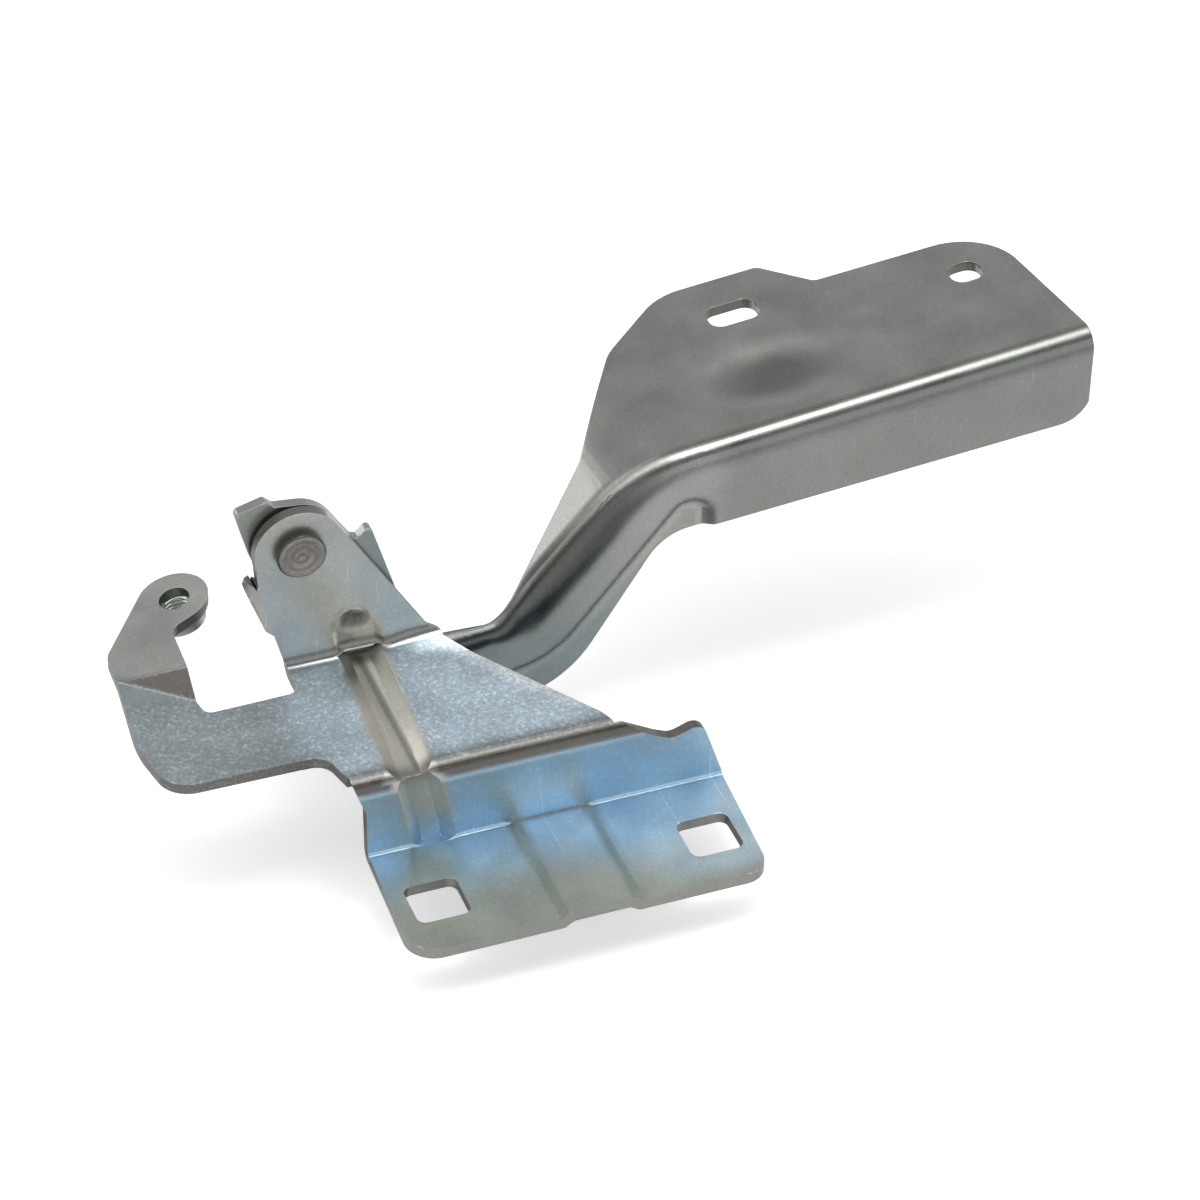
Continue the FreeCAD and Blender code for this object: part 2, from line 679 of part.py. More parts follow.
# Body bracket: square bolt holes and the rivet hole
square_x = listed("square_x")
square_half = listed("square_half")
square_r = listed("square_r")
square_loops = []
for side, mark in ((-1, "left"), (1, "right")):
    middle = square_x * side
    square_loops.append([
        corner("square_%s_1" % mark, middle - square_half, -square_half, square_r),
        corner("square_%s_2" % mark, middle + square_half, -square_half, square_r),
        corner("square_%s_3" % mark, middle + square_half, square_half, square_r),
        corner("square_%s_4" % mark, middle - square_half, square_half, square_r),
    ])
square_sketch = new_sketch(bracket, "square_sketch", "XY_Plane", sheet_t + cut_clear, square_loops)
pocket(bracket, "square_holes", square_sketch, sheet_t + cut_clear * 2)
tenon_r = listed("tenon_r")
pivot_sketch = new_sketch(
    bracket, "pivot_sketch", "XZ_Plane", -(ear_front - cut_clear), circles=[(pivot_x, pivot_z, tenon_r)])
pocket(bracket, "rivet_hole", pivot_sketch, sheet_t + cut_clear * 2)

# Bonnet arm: web and pivot end in one flat plate
arm = doc.addObject("PartDesign::Body", "bonnet_arm")
arm.Label = "bonnet_arm"
bush_outer_r = listed("bush_outer_r")
crown_r = arm_bend_r + sheet_t
crown = [
    corner("crown_end", arm_end, 73.93),
    corner("crown_shoulder", 45.7, 59.9, 40.0),
    corner("crown_dip", 9.2, 19.0, 8.0),
    corner("crown_lip", -12.9, 16.65),
]


def offset_corner(name, before, node, after, distance, grow):
    """A corner of the line that runs beside the crown at a fixed distance."""
    here = Vector(node[1].value, node[2].value, 0)
    normals = []
    if before is not None:
        normals.append(left_of((here - Vector(before[1].value, before[2].value, 0)).normalize()))
    if after is not None:
        normals.append(left_of((Vector(after[1].value, after[2].value, 0) - here).normalize()))
    if len(normals) == 2:
        shift = (normals[0] + normals[1]) * (1 / (1 + normals[0].dot(normals[1])))
    else:
        shift = normals[0]
    radius = node[3] + distance * grow if node[3].value > 0 else 0
    return corner(name, node[1] + distance * shift.x, node[2] + distance * shift.y, radius)


bend_line = [
    offset_corner("bend_end", None, crown[0], crown[1], crown_r, 0),
    offset_corner("bend_shoulder", crown[0], crown[1], crown[2], crown_r, -1),
    offset_corner("bend_dip", crown[1], crown[2], crown[3], crown_r, 1),
    offset_corner("bend_lip", crown[2], crown[3], None, crown_r, 0),
]
tab_right = [
    corner("tab_right_top", -27.2, 62.3, 1.2),
    corner("tab_right_in", -30.6, 58.9),
    corner("tab_right_root", -32.0, 59.4),
]
tab_left = [
    corner("tab_left_root", -52.2, 74.1),
    corner("tab_left_high", -54.6, 76.3, 0.8),
    corner("tab_left_tip", -62.6, 74.1, 1.3),
    corner("tab_left_side", -61.2, 68.1),
    corner("tab_left_low", -58.9, 59.3),
]
neck_left = [
    corner("neck_left_high", -54.6, 50.0),
    corner("neck_left_low", -48.5, 14.0),
    corner("neck_bottom_left", -43.0, -13.5, 22.0),
]
bottom_right = corner("neck_bottom_right", 26.5, -6.2, 30.0)
neck_top = corner("neck_top", 54.2, 37.0, 15.0)
web_end = [
    corner("web_low_left", 70.5, 38.4),
    corner("web_low_right", arm_end + web_end_lean, 47.2, 9.5),
]
web = bend_line + tab_right + [hub(pivot_x, pivot_z, arm_round)] + tab_left + neck_left
web += [bottom_right, neck_top] + web_end
step_depth = listed("step_depth")
web_sketch = new_sketch(arm, "web_sketch", "XZ_Plane", -(arm_back + step_depth), [web])
pad(arm, "web_pad", web_sketch, sheet_t + step_depth)

# Bonnet arm: stepped strip along the lower edge of the gooseneck
step_loop = [
    corner("step_low_left", -16.0, web_floor),
    corner("step_low_right", 67.4, web_floor),
    corner("step_start", 66.4, 44.6, 3.0),
    corner("step_crest", 60.0, 49.6, 6.0),
    corner("step_inner", 23.0, 5.6, 26.0),
    corner("step_end", -9.5, -0.4, 4.0),
]
web_frame = rectangle(
    "web_frame",
    pivot_x - arm_round * 2 - cut_over,
    web_floor - cut_over,
    arm_end + cut_over * 2,
    pivot_z + arm_round * 2,
)
step_sketch = new_sketch(arm, "step_back_sketch", "XZ_Plane", -arm_back, [web_frame, step_loop])
pocket(arm, "step_back", step_sketch, step_depth + cut_clear)
step_sketch = new_sketch(arm, "step_front_sketch", "XZ_Plane", -(arm_front - cut_clear), [step_loop])
pocket(arm, "step_front", step_sketch, step_depth + cut_clear)

# Bonnet arm: bend and flange, one section carried along the crown
flange_reach = arm_front + flange_width + cut_over
crown_tilt = math.atan2(crown[0][2].value - crown[1][2].value, crown[0][1].value - crown[1][1].value)
path_sketch = new_sketch(arm, "crown_path", "XZ_Plane", -arm_front)


def draw_path(sketch, nodes):
    """Draw an open line with rounded corners."""
    points = [Vector(node[1].value, node[2].value, 0) for node in nodes]
    start = points[0]
    for i in range(1, len(nodes)):
        incoming = (points[i] - points[i - 1]).normalize()
        radius = nodes[i][3].value
        if radius > 0:
            outgoing = (points[i + 1] - points[i]).normalize()
            turn = math.atan2(incoming.cross(outgoing).z, incoming.dot(outgoing))
            side = math.copysign(1.0, turn)
            back_off = radius * math.tan(abs(turn) / 2)
            first = points[i] - incoming * back_off
            last = points[i] + outgoing * back_off
            centre = first + left_of(incoming) * radius * side
            middle = centre + (points[i] - centre).normalize() * radius
            sketch.addGeometry(Part.LineSegment(start, first), False)
            sketch.addGeometry(Part.Arc(first, middle, last), False)
            start = last
        else:
            sketch.addGeometry(Part.LineSegment(start, points[i]), False)


draw_path(path_sketch, crown)
section_turn = FreeCAD.Rotation(Vector(0, 1, 0), -math.degrees(crown_tilt)).multiply(
    FreeCAD.Rotation(Vector(0, 1, 0), Vector(0, 0, 1), Vector(1, 0, 0), "ZXY"))
bend_section = [
    corner("bend_web_front", nothing, -(crown_r + cut_clear)),
    corner("bend_web_back", sheet_t, -(crown_r + cut_clear)),
    corner("bend_inside", sheet_t, -sheet_t, arm_bend_r),
    corner("flange_under", flange_reach - arm_front, -sheet_t),
    corner("flange_top", flange_reach - arm_front, nothing),
    corner("bend_outside", nothing, nothing, crown_r),
]
profile_sketch = tilted_sketch(
    arm, "bend_section", (crown[0][1], arm_front, crown[0][2]), section_turn, [bend_section])
bend = arm.newObject("PartDesign::AdditivePipe", "bend_and_flange")
bend.Profile = profile_sketch
bend.Spine = (path_sketch, [])
arm.Tip = bend

# Bonnet arm: plan outline of the flange, cut from above
flange_cut_from = listed("flange_cut_from")
flange_cut_to = listed("flange_cut_to")
FLANGE_POINTS = [
    ("flange_lip_out", -16.0, 7.8, 0),
    ("flange_lip_in", 5.5, 3.8, 5.0),
    ("flange_sweep_low", 13.2, 6.2, 6.0),
    ("flange_sweep", 37.8, 21.9, 8.0),
    ("flange_shoulder", 57.0, 52.1, 15.0),
]
flange_plan = []
for name, across, beyond, rounding in FLANGE_POINTS:
    flange_plan.append(corner(name, across, arm_front + named(name + "_y", beyond), rounding))
flange_end = arm_front + flange_width - flange_notch
flange_plan += [
    corner("flange_head_left", 77.9, arm_front + flange_width, 18.0),
    corner("flange_head_right", 107.0, arm_front + flange_width, 3.0),
    corner("flange_step", 118.7, flange_end + join, 3.0),
    corner("flange_corner", arm_end - named("flange_end_slope", 6.1), flange_end, 18.0),
    corner("flange_end_low", arm_end, arm_front + named("flange_end_low_y", 6.1)),
    corner("flange_end_web", arm_end, arm_front - cut_clear * 2),
    corner("flange_out_1", arm_end + cut_over * 4, arm_front - cut_clear * 2),
    corner("flange_out_2", arm_end + cut_over * 4, flange_reach + cut_over),
    corner("flange_out_3", flange_plan[0][1], flange_reach + cut_over),
]
plan_cut_sketch = new_sketch(arm, "flange_plan_sketch", "XY_Plane", flange_cut_from, [flange_plan])
pocket(arm, "flange_cut", plan_cut_sketch, flange_cut_from - flange_cut_to)

# Bonnet arm: slot and hole for the bonnet bolts, and the bore for the bush
slot_x = listed("slot_x")
slot_y = arm_front + listed("slot_beyond")
hole_x = arm_end - listed("hole_inset")
hole_y = arm_front + listed("hole_beyond")
slot_half = listed("slot_half")
slot_wide = listed("slot_wide")
slot_r = listed("slot_r")
hole_half = listed("hole_half")
hole_wide = listed("hole_wide")
hole_r = listed("hole_r")


def bolt_hole(name, middle_x, middle_y, half_x, half_y, radius):
    """An oblong hole with rounded corners."""
    return [
        corner(name + "_1", middle_x - half_x, middle_y - half_y, radius),
        corner(name + "_2", middle_x + half_x, middle_y - half_y, radius),
        corner(name + "_3", middle_x + half_x, middle_y + half_y, radius),
        corner(name + "_4", middle_x - half_x, middle_y + half_y, radius),
    ]


hole_sketch = new_sketch(arm, "bolt_hole_sketch", "XY_Plane", flange_cut_from, [
    bolt_hole("slot", slot_x, slot_y, slot_half, slot_wide, slot_r),
    bolt_hole("hole", hole_x, hole_y, hole_half, hole_wide, hole_r),
])
pocket(arm, "bolt_holes", hole_sketch, flange_cut_from - flange_cut_to)
bore_sketch = new_sketch(
    arm, "bush_bore_sketch", "XZ_Plane", -(arm_front - cut_clear),
    circles=[(pivot_x, pivot_z, bush_outer_r)])
pocket(arm, "bush_bore", bore_sketch, sheet_t + cut_clear * 2)

# Turned pieces, each drawn as half a section beside its own axis
shoulder_r = listed("shoulder_r")
bush_clear = listed("bush_clear")
rivet_head_r = listed("rivet_head_r")
rivet_head_t = listed("rivet_head_t")
rear_head_r = listed("rear_head_r")
rear_head_t = listed("rear_head_t")
washer_r = listed("washer_r")
washer_t = listed("washer_t")
bush_flange_r = listed("bush_flange_r")
nut_r = listed("nut_r")
nut_t = listed("nut_t")
nut_bore_r = listed("nut_bore_r")
nut_chamfer = listed("nut_chamfer")
head_edge = listed("head_edge")
dimple_r = listed("dimple_r")
dimple_deep = listed("dimple_deep")
rear_plane = arm_back + running_gap + washer_t + rear_head_t


def turned_body(name, half_section, base, rotation):
    """A body of revolution about its own upright axis, then put in place."""
    body = doc.addObject("PartDesign::Body", name)
    body.Label = name
    sketch = new_sketch(body, name + "_section", "XZ_Plane", 0, [half_section])
    turn = body.newObject("PartDesign::Revolution", name + "_turn")
    turn.Profile = sketch
    turn.ReferenceAxis = (sketch, ["V_Axis"])
    turn.Angle = 360
    body.Tip = turn
    body.Placement = FreeCAD.Placement(Vector(*[part.value for part in base]), rotation)
    for axis, part in zip("xyz", base):
        body.setExpression("Placement.Base." + axis, part.text)
    return body


towards_front = FreeCAD.Rotation(Vector(1, 0, 0), 90)
shoulder_from = rear_head_t
shoulder_to = rear_plane - ear_back
tenon_to = shoulder_to + sheet_t
turned_body("pivot_rivet", [
    corner("rivet_rear_mid", nothing, nothing),
    corner("rivet_rear_rim", rear_head_r, nothing, head_edge),
    corner("rivet_rear_in", rear_head_r, rear_head_t),
    corner("rivet_shoulder_in", shoulder_r, shoulder_from),
    corner("rivet_shoulder_out", shoulder_r, shoulder_to),
    corner("rivet_tenon_in", tenon_r, shoulder_to),
    corner("rivet_tenon_out", tenon_r, tenon_to),
    corner("rivet_head_in", rivet_head_r, tenon_to),
    corner("rivet_head_rim", rivet_head_r, tenon_to + rivet_head_t, head_edge),
    corner("rivet_dimple_rim", dimple_r, tenon_to + rivet_head_t),
    corner("rivet_dimple_low", dimple_r - dimple_deep, tenon_to + rivet_head_t - dimple_deep),
    corner("rivet_front_mid", nothing, tenon_to + rivet_head_t - dimple_deep),
], (pivot_x, rear_plane, pivot_z), towards_front)
bush_bore_r = shoulder_r + bush_clear
bush_flange_t = arm_gap - running_gap
turned_body("pivot_bush", [
    corner("bush_low_in", bush_bore_r, nothing),
    corner("bush_low_out", bush_outer_r, nothing),
    corner("bush_neck", bush_outer_r, sheet_t),
    corner("bush_flange_low", bush_flange_r, sheet_t),
    corner("bush_flange_high", bush_flange_r, sheet_t + bush_flange_t),
    corner("bush_high_in", bush_bore_r, sheet_t + bush_flange_t),
], (pivot_x, arm_back, pivot_z), towards_front)
turned_body("thrust_washer", [
    corner("washer_low_in", bush_bore_r, nothing),
    corner("washer_low_out", washer_r, nothing),
    corner("washer_high_out", washer_r, washer_t),
    corner("washer_high_in", bush_bore_r, washer_t),
], (pivot_x, arm_back + running_gap + washer_t, pivot_z), towards_front)
tilt_cos = math.cos(LUG_TILT)
tilt_sin = math.sin(LUG_TILT)
lug_normal_t = sheet_t * tilt_cos
nut_base = (
    lug_base_x + lug_hole_x * tilt_cos + (lug_normal_t + nut_t) * tilt_sin,
    lug_hole_y,
    panel_top + lug_hole_x * tilt_sin - (lug_normal_t + nut_t) * tilt_cos,
)
turned_body("lug_weld_nut", [
    corner("nut_low_in", nut_bore_r, nothing),
    corner("nut_low_out", nut_r - nut_chamfer, nothing),
    corner("nut_side_low", nut_r, nut_chamfer),
    corner("nut_high_out", nut_r, nut_t),
    corner("nut_high_in", nut_bore_r, nut_t),
], nut_base, lug_turn)
doc.recompute()

# Check every object, then write one file per piece
NODES = ["body_bracket", "bonnet_arm", "pivot_rivet", "pivot_bush", "thrust_washer", "lug_weld_nut"]
for item in doc.Objects:
    for state in item.State:
        if state in ("Invalid", "Error"):
            raise ValueError(item.Name + " is not in order: " + state)
for item in doc.Objects:
    if item.TypeId not in ("PartDesign::Pad", "PartDesign::Pocket", "PartDesign::AdditivePipe"):
        continue
    before = item.BaseFeature.Shape.Volume if item.BaseFeature else 0.0
    change = item.Shape.Volume - before
    adds = item.TypeId != "PartDesign::Pocket"
    if adds != (change > 0) or abs(change) < 0.05:
        raise ValueError("%s changed the volume by %.3f" % (item.Name, change))
for node in NODES:
    part_body = doc.getObject(node)
    shape = part_body.Shape
    if shape.isNull() or not shape.isValid() or len(shape.Solids) != 1:
        raise ValueError(node + " is not one valid solid")
    shape.exportStep("parts/%s.step" % node)
    box = shape.BoundBox
    print("%s: %.0f cubic mm, x %.1f to %.1f, y %.1f to %.1f, z %.1f to %.1f" % (
        node, shape.Volume, box.XMin, box.XMax, box.YMin, box.YMax, box.ZMin, box.ZMax))
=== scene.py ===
# %% [markdown]
# A bonnet hinge is two stampings of 3 mm steel sheet and a weld nut, all bright zinc plated, with a
# riveted pivot between them. The solids already have the true sizes, so this script loads them as a
# fixed frame, dresses them with softer, more detailed skins, and lights them as a product photographer
# would. Places and lengths on the hinge are in millimetres until they go into a mesh, and those of the
# floor and the lamps are in metres.

# %% Load the frame
import math

import bmesh
import bpy
import numpy as np
from mathutils import Matrix, Vector


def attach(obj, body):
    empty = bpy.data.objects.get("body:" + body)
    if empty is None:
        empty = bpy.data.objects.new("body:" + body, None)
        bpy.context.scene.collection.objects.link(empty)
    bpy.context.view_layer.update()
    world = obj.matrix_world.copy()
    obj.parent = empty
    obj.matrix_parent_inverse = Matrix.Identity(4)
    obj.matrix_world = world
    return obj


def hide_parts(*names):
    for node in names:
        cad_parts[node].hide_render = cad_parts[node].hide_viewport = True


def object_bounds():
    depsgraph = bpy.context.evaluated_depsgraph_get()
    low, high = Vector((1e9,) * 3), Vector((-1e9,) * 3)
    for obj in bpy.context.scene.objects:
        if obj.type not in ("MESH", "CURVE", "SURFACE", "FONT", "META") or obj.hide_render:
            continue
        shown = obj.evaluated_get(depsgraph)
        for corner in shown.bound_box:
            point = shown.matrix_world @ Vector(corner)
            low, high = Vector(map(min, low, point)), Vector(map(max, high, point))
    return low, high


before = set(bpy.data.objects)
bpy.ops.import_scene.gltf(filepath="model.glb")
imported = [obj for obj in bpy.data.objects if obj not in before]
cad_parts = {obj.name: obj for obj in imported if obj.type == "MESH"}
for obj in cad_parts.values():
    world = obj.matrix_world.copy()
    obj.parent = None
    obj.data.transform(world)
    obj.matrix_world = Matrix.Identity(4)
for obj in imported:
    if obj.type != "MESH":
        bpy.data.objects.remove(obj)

cad_box = [list(map(float, corner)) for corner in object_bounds()]
MM = 0.001
print("solids:", sorted(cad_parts), "box:", cad_box)

# %% [markdown]
# The camera looks down at the hinge from the front left. Its place and its 135 mm lens come from the
# vanishing lines of the foot and its square holes, so every edge of the model falls where it does in
# the photograph. The standard view transform keeps a colour as it is written.

# %% Camera
CAMERA_PLACE = Vector((-304.669, -789.104, 754.080)) * MM
CAMERA_RIGHT = Vector((0.9350883, -0.35406372, 0.0157721))
CAMERA_UP = Vector((0.20741985, 0.58279903, 0.7856986))
CAMERA_VIEW = Vector((0.28737934, 0.73142612, -0.6184084))
lens_data = bpy.data.cameras.new("photo_camera")
lens_data.sensor_width = 36.0
lens_data.sensor_fit = "HORIZONTAL"
lens_data.lens = 135.0
lens_data.clip_end = 20.0
camera = bpy.data.objects.new("photo_camera", lens_data)
bpy.context.scene.collection.objects.link(camera)
turn = Matrix((CAMERA_RIGHT, CAMERA_UP, -CAMERA_VIEW)).transposed()
camera.matrix_world = Matrix.Translation(CAMERA_PLACE) @ turn.to_4x4()
bpy.context.scene.camera = camera
bpy.context.scene.view_settings.view_transform = "Standard"
print("camera at", tuple(round(v, 3) for v in CAMERA_PLACE))

# %% [markdown]
# Finishes, floor and room are all node trees, and the same few nodes come back in each of them. These
# helpers add one node, set it and link it, so that the trees further down read like a recipe.


# %% Node helpers
def new_tree(tree):
    """Empty a node tree and return its nodes and its way to link them."""
    tree.nodes.clear()
    return tree.nodes, tree.links


def ramp_node(nodes, links, source, stops):
    """A colour ramp from a list of (position, colour) stops, fed by a socket."""
    node = nodes.new("ShaderNodeValToRGB")
    while len(node.color_ramp.elements) < len(stops):
        node.color_ramp.elements.new(1.0)
    for element, (position, colour) in zip(node.color_ramp.elements, stops):
        element.position = position
        element.color = (*colour, 1.0)
    links.new(source, node.inputs[0])
    return node.outputs["Color"]


def math_node(nodes, links, operation, first, second):
    """One Math node, whose inputs are sockets or numbers."""
    node = nodes.new("ShaderNodeMath")
    node.operation = operation
    for i, source in enumerate((first, second)):
        if isinstance(source, (int, float)):
            node.inputs[i].default_value = source
        else:
            links.new(source, node.inputs[i])
    return node.outputs[0]


def grey(value):
    """A neutral colour."""
    return (value, value, value)


def noise_node(nodes, links, place, scale, detail):
    """A noise pattern, read at a place socket."""
    node = nodes.new("ShaderNodeTexNoise")
    node.inputs["Scale"].default_value = scale
    node.inputs["Detail"].default_value = detail
    links.new(place, node.inputs["Vector"])
    return node.outputs["Fac"]


def multiply_colours(nodes, links, first, second):
    """The product of two colours."""
    mix = nodes.new("ShaderNodeMix")
    mix.data_type = "RGBA"
    mix.blend_type = "MULTIPLY"
    mix.inputs["Factor"].default_value = 1.0
    links.new(first, mix.inputs["A"])
    links.new(second, mix.inputs["B"])
    return mix.outputs["Result"]


def camera_choice(nodes, links, lit, seen):
    """A mix of two shaders: camera rays get the second one, and all other rays the first."""
    ray = nodes.new("ShaderNodeLightPath")
    choice = nodes.new("ShaderNodeMixShader")
    links.new(ray.outputs["Is Camera Ray"], choice.inputs[0])
    links.new(lit, choice.inputs[1])
    links.new(seen, choice.inputs[2])
    return choice.outputs[0]


def new_piece(name, data):
    """An object for a mesh or a lamp, at the origin, unturned and unscaled."""
    piece = bpy.data.objects.new(name, data)
    bpy.context.scene.collection.objects.link(piece)
    return piece


# %% [markdown]
# Polished plating shows its surroundings, so the room matters as much as the lamps. Its brightness
# follows one arc, from the back wall over the ceiling to the front wall. The bright ceiling draws the
# white line along each fold, the dark band before the front wall draws the dark line just below, and
# the front wall fills the upright faces. Camera rays see plain white, which adds no light to the metal.

# %% Room
ROOM_LEVELS = [
    (0, 0.80),
    (18, 0.74),
    (34, 0.52),
    (52, 0.56),
    (64, 0.95),
    (72, 1.95),
    (98, 1.95),
    (107, 0.40),
    (114, 0.10),
    (127, 0.18),
    (136, 1.15),
    (164, 1.15),
    (180, 0.60),
]
room_stops = [(degrees / 180, grey(level)) for degrees, level in ROOM_LEVELS]
world = bpy.data.worlds.new("studio")
bpy.context.scene.world = world
world.use_nodes = True
nodes, links = new_tree(world.node_tree)
direction = nodes.new("ShaderNodeTexCoord")
split = nodes.new("ShaderNodeSeparateXYZ")
links.new(direction.outputs["Generated"], split.inputs[0])
arc_angle = math_node(nodes, links, "ARCTAN2", split.outputs["Z"], split.outputs["Y"])
over_head = math_node(nodes, links, "DIVIDE", arc_angle, math.pi)
room_colour = ramp_node(nodes, links, over_head, room_stops)
room = nodes.new("ShaderNodeBackground")
links.new(room_colour, room.inputs["Color"])
backdrop = nodes.new("ShaderNodeBackground")
backdrop.inputs["Color"].default_value = (*grey(1), 1)
world_out = nodes.new("ShaderNodeOutputWorld")
links.new(camera_choice(nodes, links, room.outputs[0], backdrop.outputs[0]), world_out.inputs["Surface"])
print("room:", len(room_stops), "levels of light")

# %% [markdown]
# The hinge lies on white paper. The paper is a pale grey that takes a soft shadow, and camera rays see
# a little glow added to it, so that it runs into the white backdrop without lighting the metal.

# %% Floor
FLOOR_HALF = 3.0
FLOOR_GREY = 0.72
FLOOR_GLOW = 0.50
FLOOR_GAP = 0.2
CORNERS = ((-1, -1), (1, -1), (1, 1), (-1, 1))
floor_level = cad_box[0][2] - FLOOR_GAP * MM
floor_points = [(x * FLOOR_HALF, y * FLOOR_HALF, floor_level) for x, y in CORNERS]
floor_mesh = bpy.data.meshes.new("floor")
floor_mesh.from_pydata(floor_points, [], [(0, 1, 2, 3)])
floor = new_piece("floor", floor_mesh)
floor_material = bpy.data.materials.new("floor_paper")
floor_material.use_nodes = True
nodes, links = new_tree(floor_material.node_tree)
paper = nodes.new("ShaderNodeBsdfDiffuse")
paper.inputs["Color"].default_value = (*grey(FLOOR_GREY), 1)
glow = nodes.new("ShaderNodeEmission")
glow.inputs["Color"].default_value = (*grey(1), 1)
glow.inputs["Strength"].default_value = FLOOR_GLOW
lit_paper = nodes.new("ShaderNodeAddShader")
links.new(paper.outputs[0], lit_paper.inputs[0])
links.new(glow.outputs[0], lit_paper.inputs[1])
floor_out = nodes.new("ShaderNodeOutputMaterial")
links.new(camera_choice(nodes, links, paper.outputs[0], lit_paper.outputs[0]), floor_out.inputs["Surface"])
floor.data.materials.append(floor_material)
print("floor at", round(floor_level / MM, 2), "mm")

# %% [markdown]
# Two soft lamps stand in the room. The one at the ceiling throws the shadow, and a weak one behind the
# hinge on the left lifts the slope of the gooseneck.


# %% Lamps
LAMP_SIZE = 0.45
HINGE_MIDDLE = Vector((0.03, 0.06, 0.03))


def area_lamp(name, place, power):
    """A soft square lamp that faces the middle of the hinge."""
    data = bpy.data.lights.new(name, "AREA")
    data.shape = "SQUARE"
    data.size = LAMP_SIZE
    data.energy = power
    lamp = new_piece(name, data)
    away = (Vector(place) - HINGE_MIDDLE).normalized()
    lamp.matrix_world = Matrix.Translation(place) @ away.to_track_quat("Z", "Y").to_matrix().to_4x4()


area_lamp("lamp_ceiling", (0.15, 0.10, 1.40), 4.0)
area_lamp("lamp_back_left", (-0.86, 1.21, 0.42), 1.0)
print("two lamps are set")

# %% [markdown]
# Stamped sheet has no sharp corner: the press rounds its folds and the plating softens each cut edge.
# A skin starts as a merged copy of its solid. Its flat faces are joined and its edges get a small
# round, and then it is sliced into an even grid, so that dents, creases and colours can follow smooth
# functions of place. Slicing by planes keeps the cells square, where subdivision would leave slivers.

# %% Skin helpers: a copy with rounded edges
WELD_GAP = 0.002
FLAT = math.radians(0.4)
EDGE_ROUND = 0.35
SHARP = math.radians(33)


def merged_copy(node, name):
    """A copy of a solid's mesh with its corners welded and its coplanar triangles joined."""
    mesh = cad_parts[node].data.copy()
    mesh.name = name
    cells = bmesh.new()
    cells.from_mesh(mesh)
    bmesh.ops.remove_doubles(cells, verts=cells.verts, dist=WELD_GAP * MM)
    bmesh.ops.dissolve_limit(
        cells, angle_limit=FLAT, verts=cells.verts, edges=cells.edges, delimit={"NORMAL"})
    cells.to_mesh(mesh)
    cells.free()
    mesh.materials.clear()
    return new_piece(name, mesh)


def apply_modifiers(piece):
    """Give the piece its evaluated mesh, and no modifiers."""
    bpy.context.view_layer.update()
    graph = bpy.context.evaluated_depsgraph_get()
    mesh = bpy.data.meshes.new_from_object(piece.evaluated_get(graph))
    piece.modifiers.clear()
    piece.data = mesh


def round_edges(piece, width):
    """Round every edge that is sharper than one facet of a bend."""
    bevel = piece.modifiers.new("edges", "BEVEL")
    bevel.width = width * MM
    bevel.segments = 2
    bevel.limit_method = "ANGLE"
    bevel.angle_limit = SHARP
    apply_modifiers(piece)


def even_normals(piece):
    """Weigh the faces around a point by their area, so that thin slices do not streak the shading."""
    weighted = piece.modifiers.new("normals", "WEIGHTED_NORMAL")
    weighted.mode = "FACE_AREA"
    weighted.keep_sharp = True
    apply_modifiers(piece)


print("skins: edges rounded by", EDGE_ROUND, "mm")

# %% Skin helpers: slicing and welding
SLICE = 2.0
CUT_GAP = 0.01
AXES = (Vector((1, 0, 0)), Vector((0, 1, 0)), Vector((0, 0, 1)))


def slice_grid(piece, step, low=None, high=None):
    """Cut the faces along even planes across X, Y and Z: all of them, or those inside a box."""
    cells = bmesh.new()
    cells.from_mesh(piece.data)
    places = np.array([corner.co for corner in cells.verts]) / MM
    start = places.min(0) if low is None else np.array(low)
    stop = places.max(0) if high is None else np.array(high)
    inside = []
    for face in cells.faces:
        middle = np.array(face.calc_center_median()) / MM
        if (middle >= start).all() and (middle <= stop).all():
            inside.append(face)
    edges = {edge for face in inside for edge in face.edges}
    corners = {corner for face in inside for corner in face.verts}
    geometry = inside + list(edges) + list(corners)
    for axis in range(3):
        for level in np.arange(start[axis] + step / 2, stop[axis], step):
            sliced = bmesh.ops.bisect_plane(
                cells, geom=geometry, dist=CUT_GAP * MM,
                plane_co=AXES[axis] * float(level * MM), plane_no=AXES[axis])
            geometry = sliced["geom"]
    bmesh.ops.triangulate(cells, faces=[face for face in cells.faces if len(face.verts) > 4])
    cells.to_mesh(piece.data)
    cells.free()


def weld(mesh, distance, outward=False):
    """Join points that are closer than the distance, and turn every face outwards if asked."""
    cells = bmesh.new()
    cells.from_mesh(mesh)
    bmesh.ops.remove_doubles(cells, verts=cells.verts, dist=distance * MM)
    if outward:
        bmesh.ops.recalc_face_normals(cells, faces=cells.faces)
    cells.to_mesh(mesh)
    cells.free()


print("skins: cells of", SLICE, "mm")


# %% Skin helpers: points, tints and grain
def points_of(mesh):
    """All vertex places as one array, in millimetres."""
    flat = np.zeros(len(mesh.vertices) * 3)
    mesh.vertices.foreach_get("co", flat)
    return flat.reshape(-1, 3) / MM


def normals_of(mesh):
    """All vertex normals as one array."""
    flat = np.zeros(len(mesh.vertices) * 3)
    mesh.vertex_normals.foreach_get("vector", flat)
    return flat.reshape(-1, 3)


def set_points(mesh, points):
    """Put an array of places, in millimetres, back into the mesh."""
    mesh.vertices.foreach_set("co", (points * MM).ravel())
    mesh.update()


def smooth_step(low, high, value):
    """A soft switch: 0 at low, 1 at high, and 3t^2 - 2t^3 of the way t in between."""
    t = np.clip((value - low) / (high - low), 0, 1)
    return t * t * (3 - 2 * t)


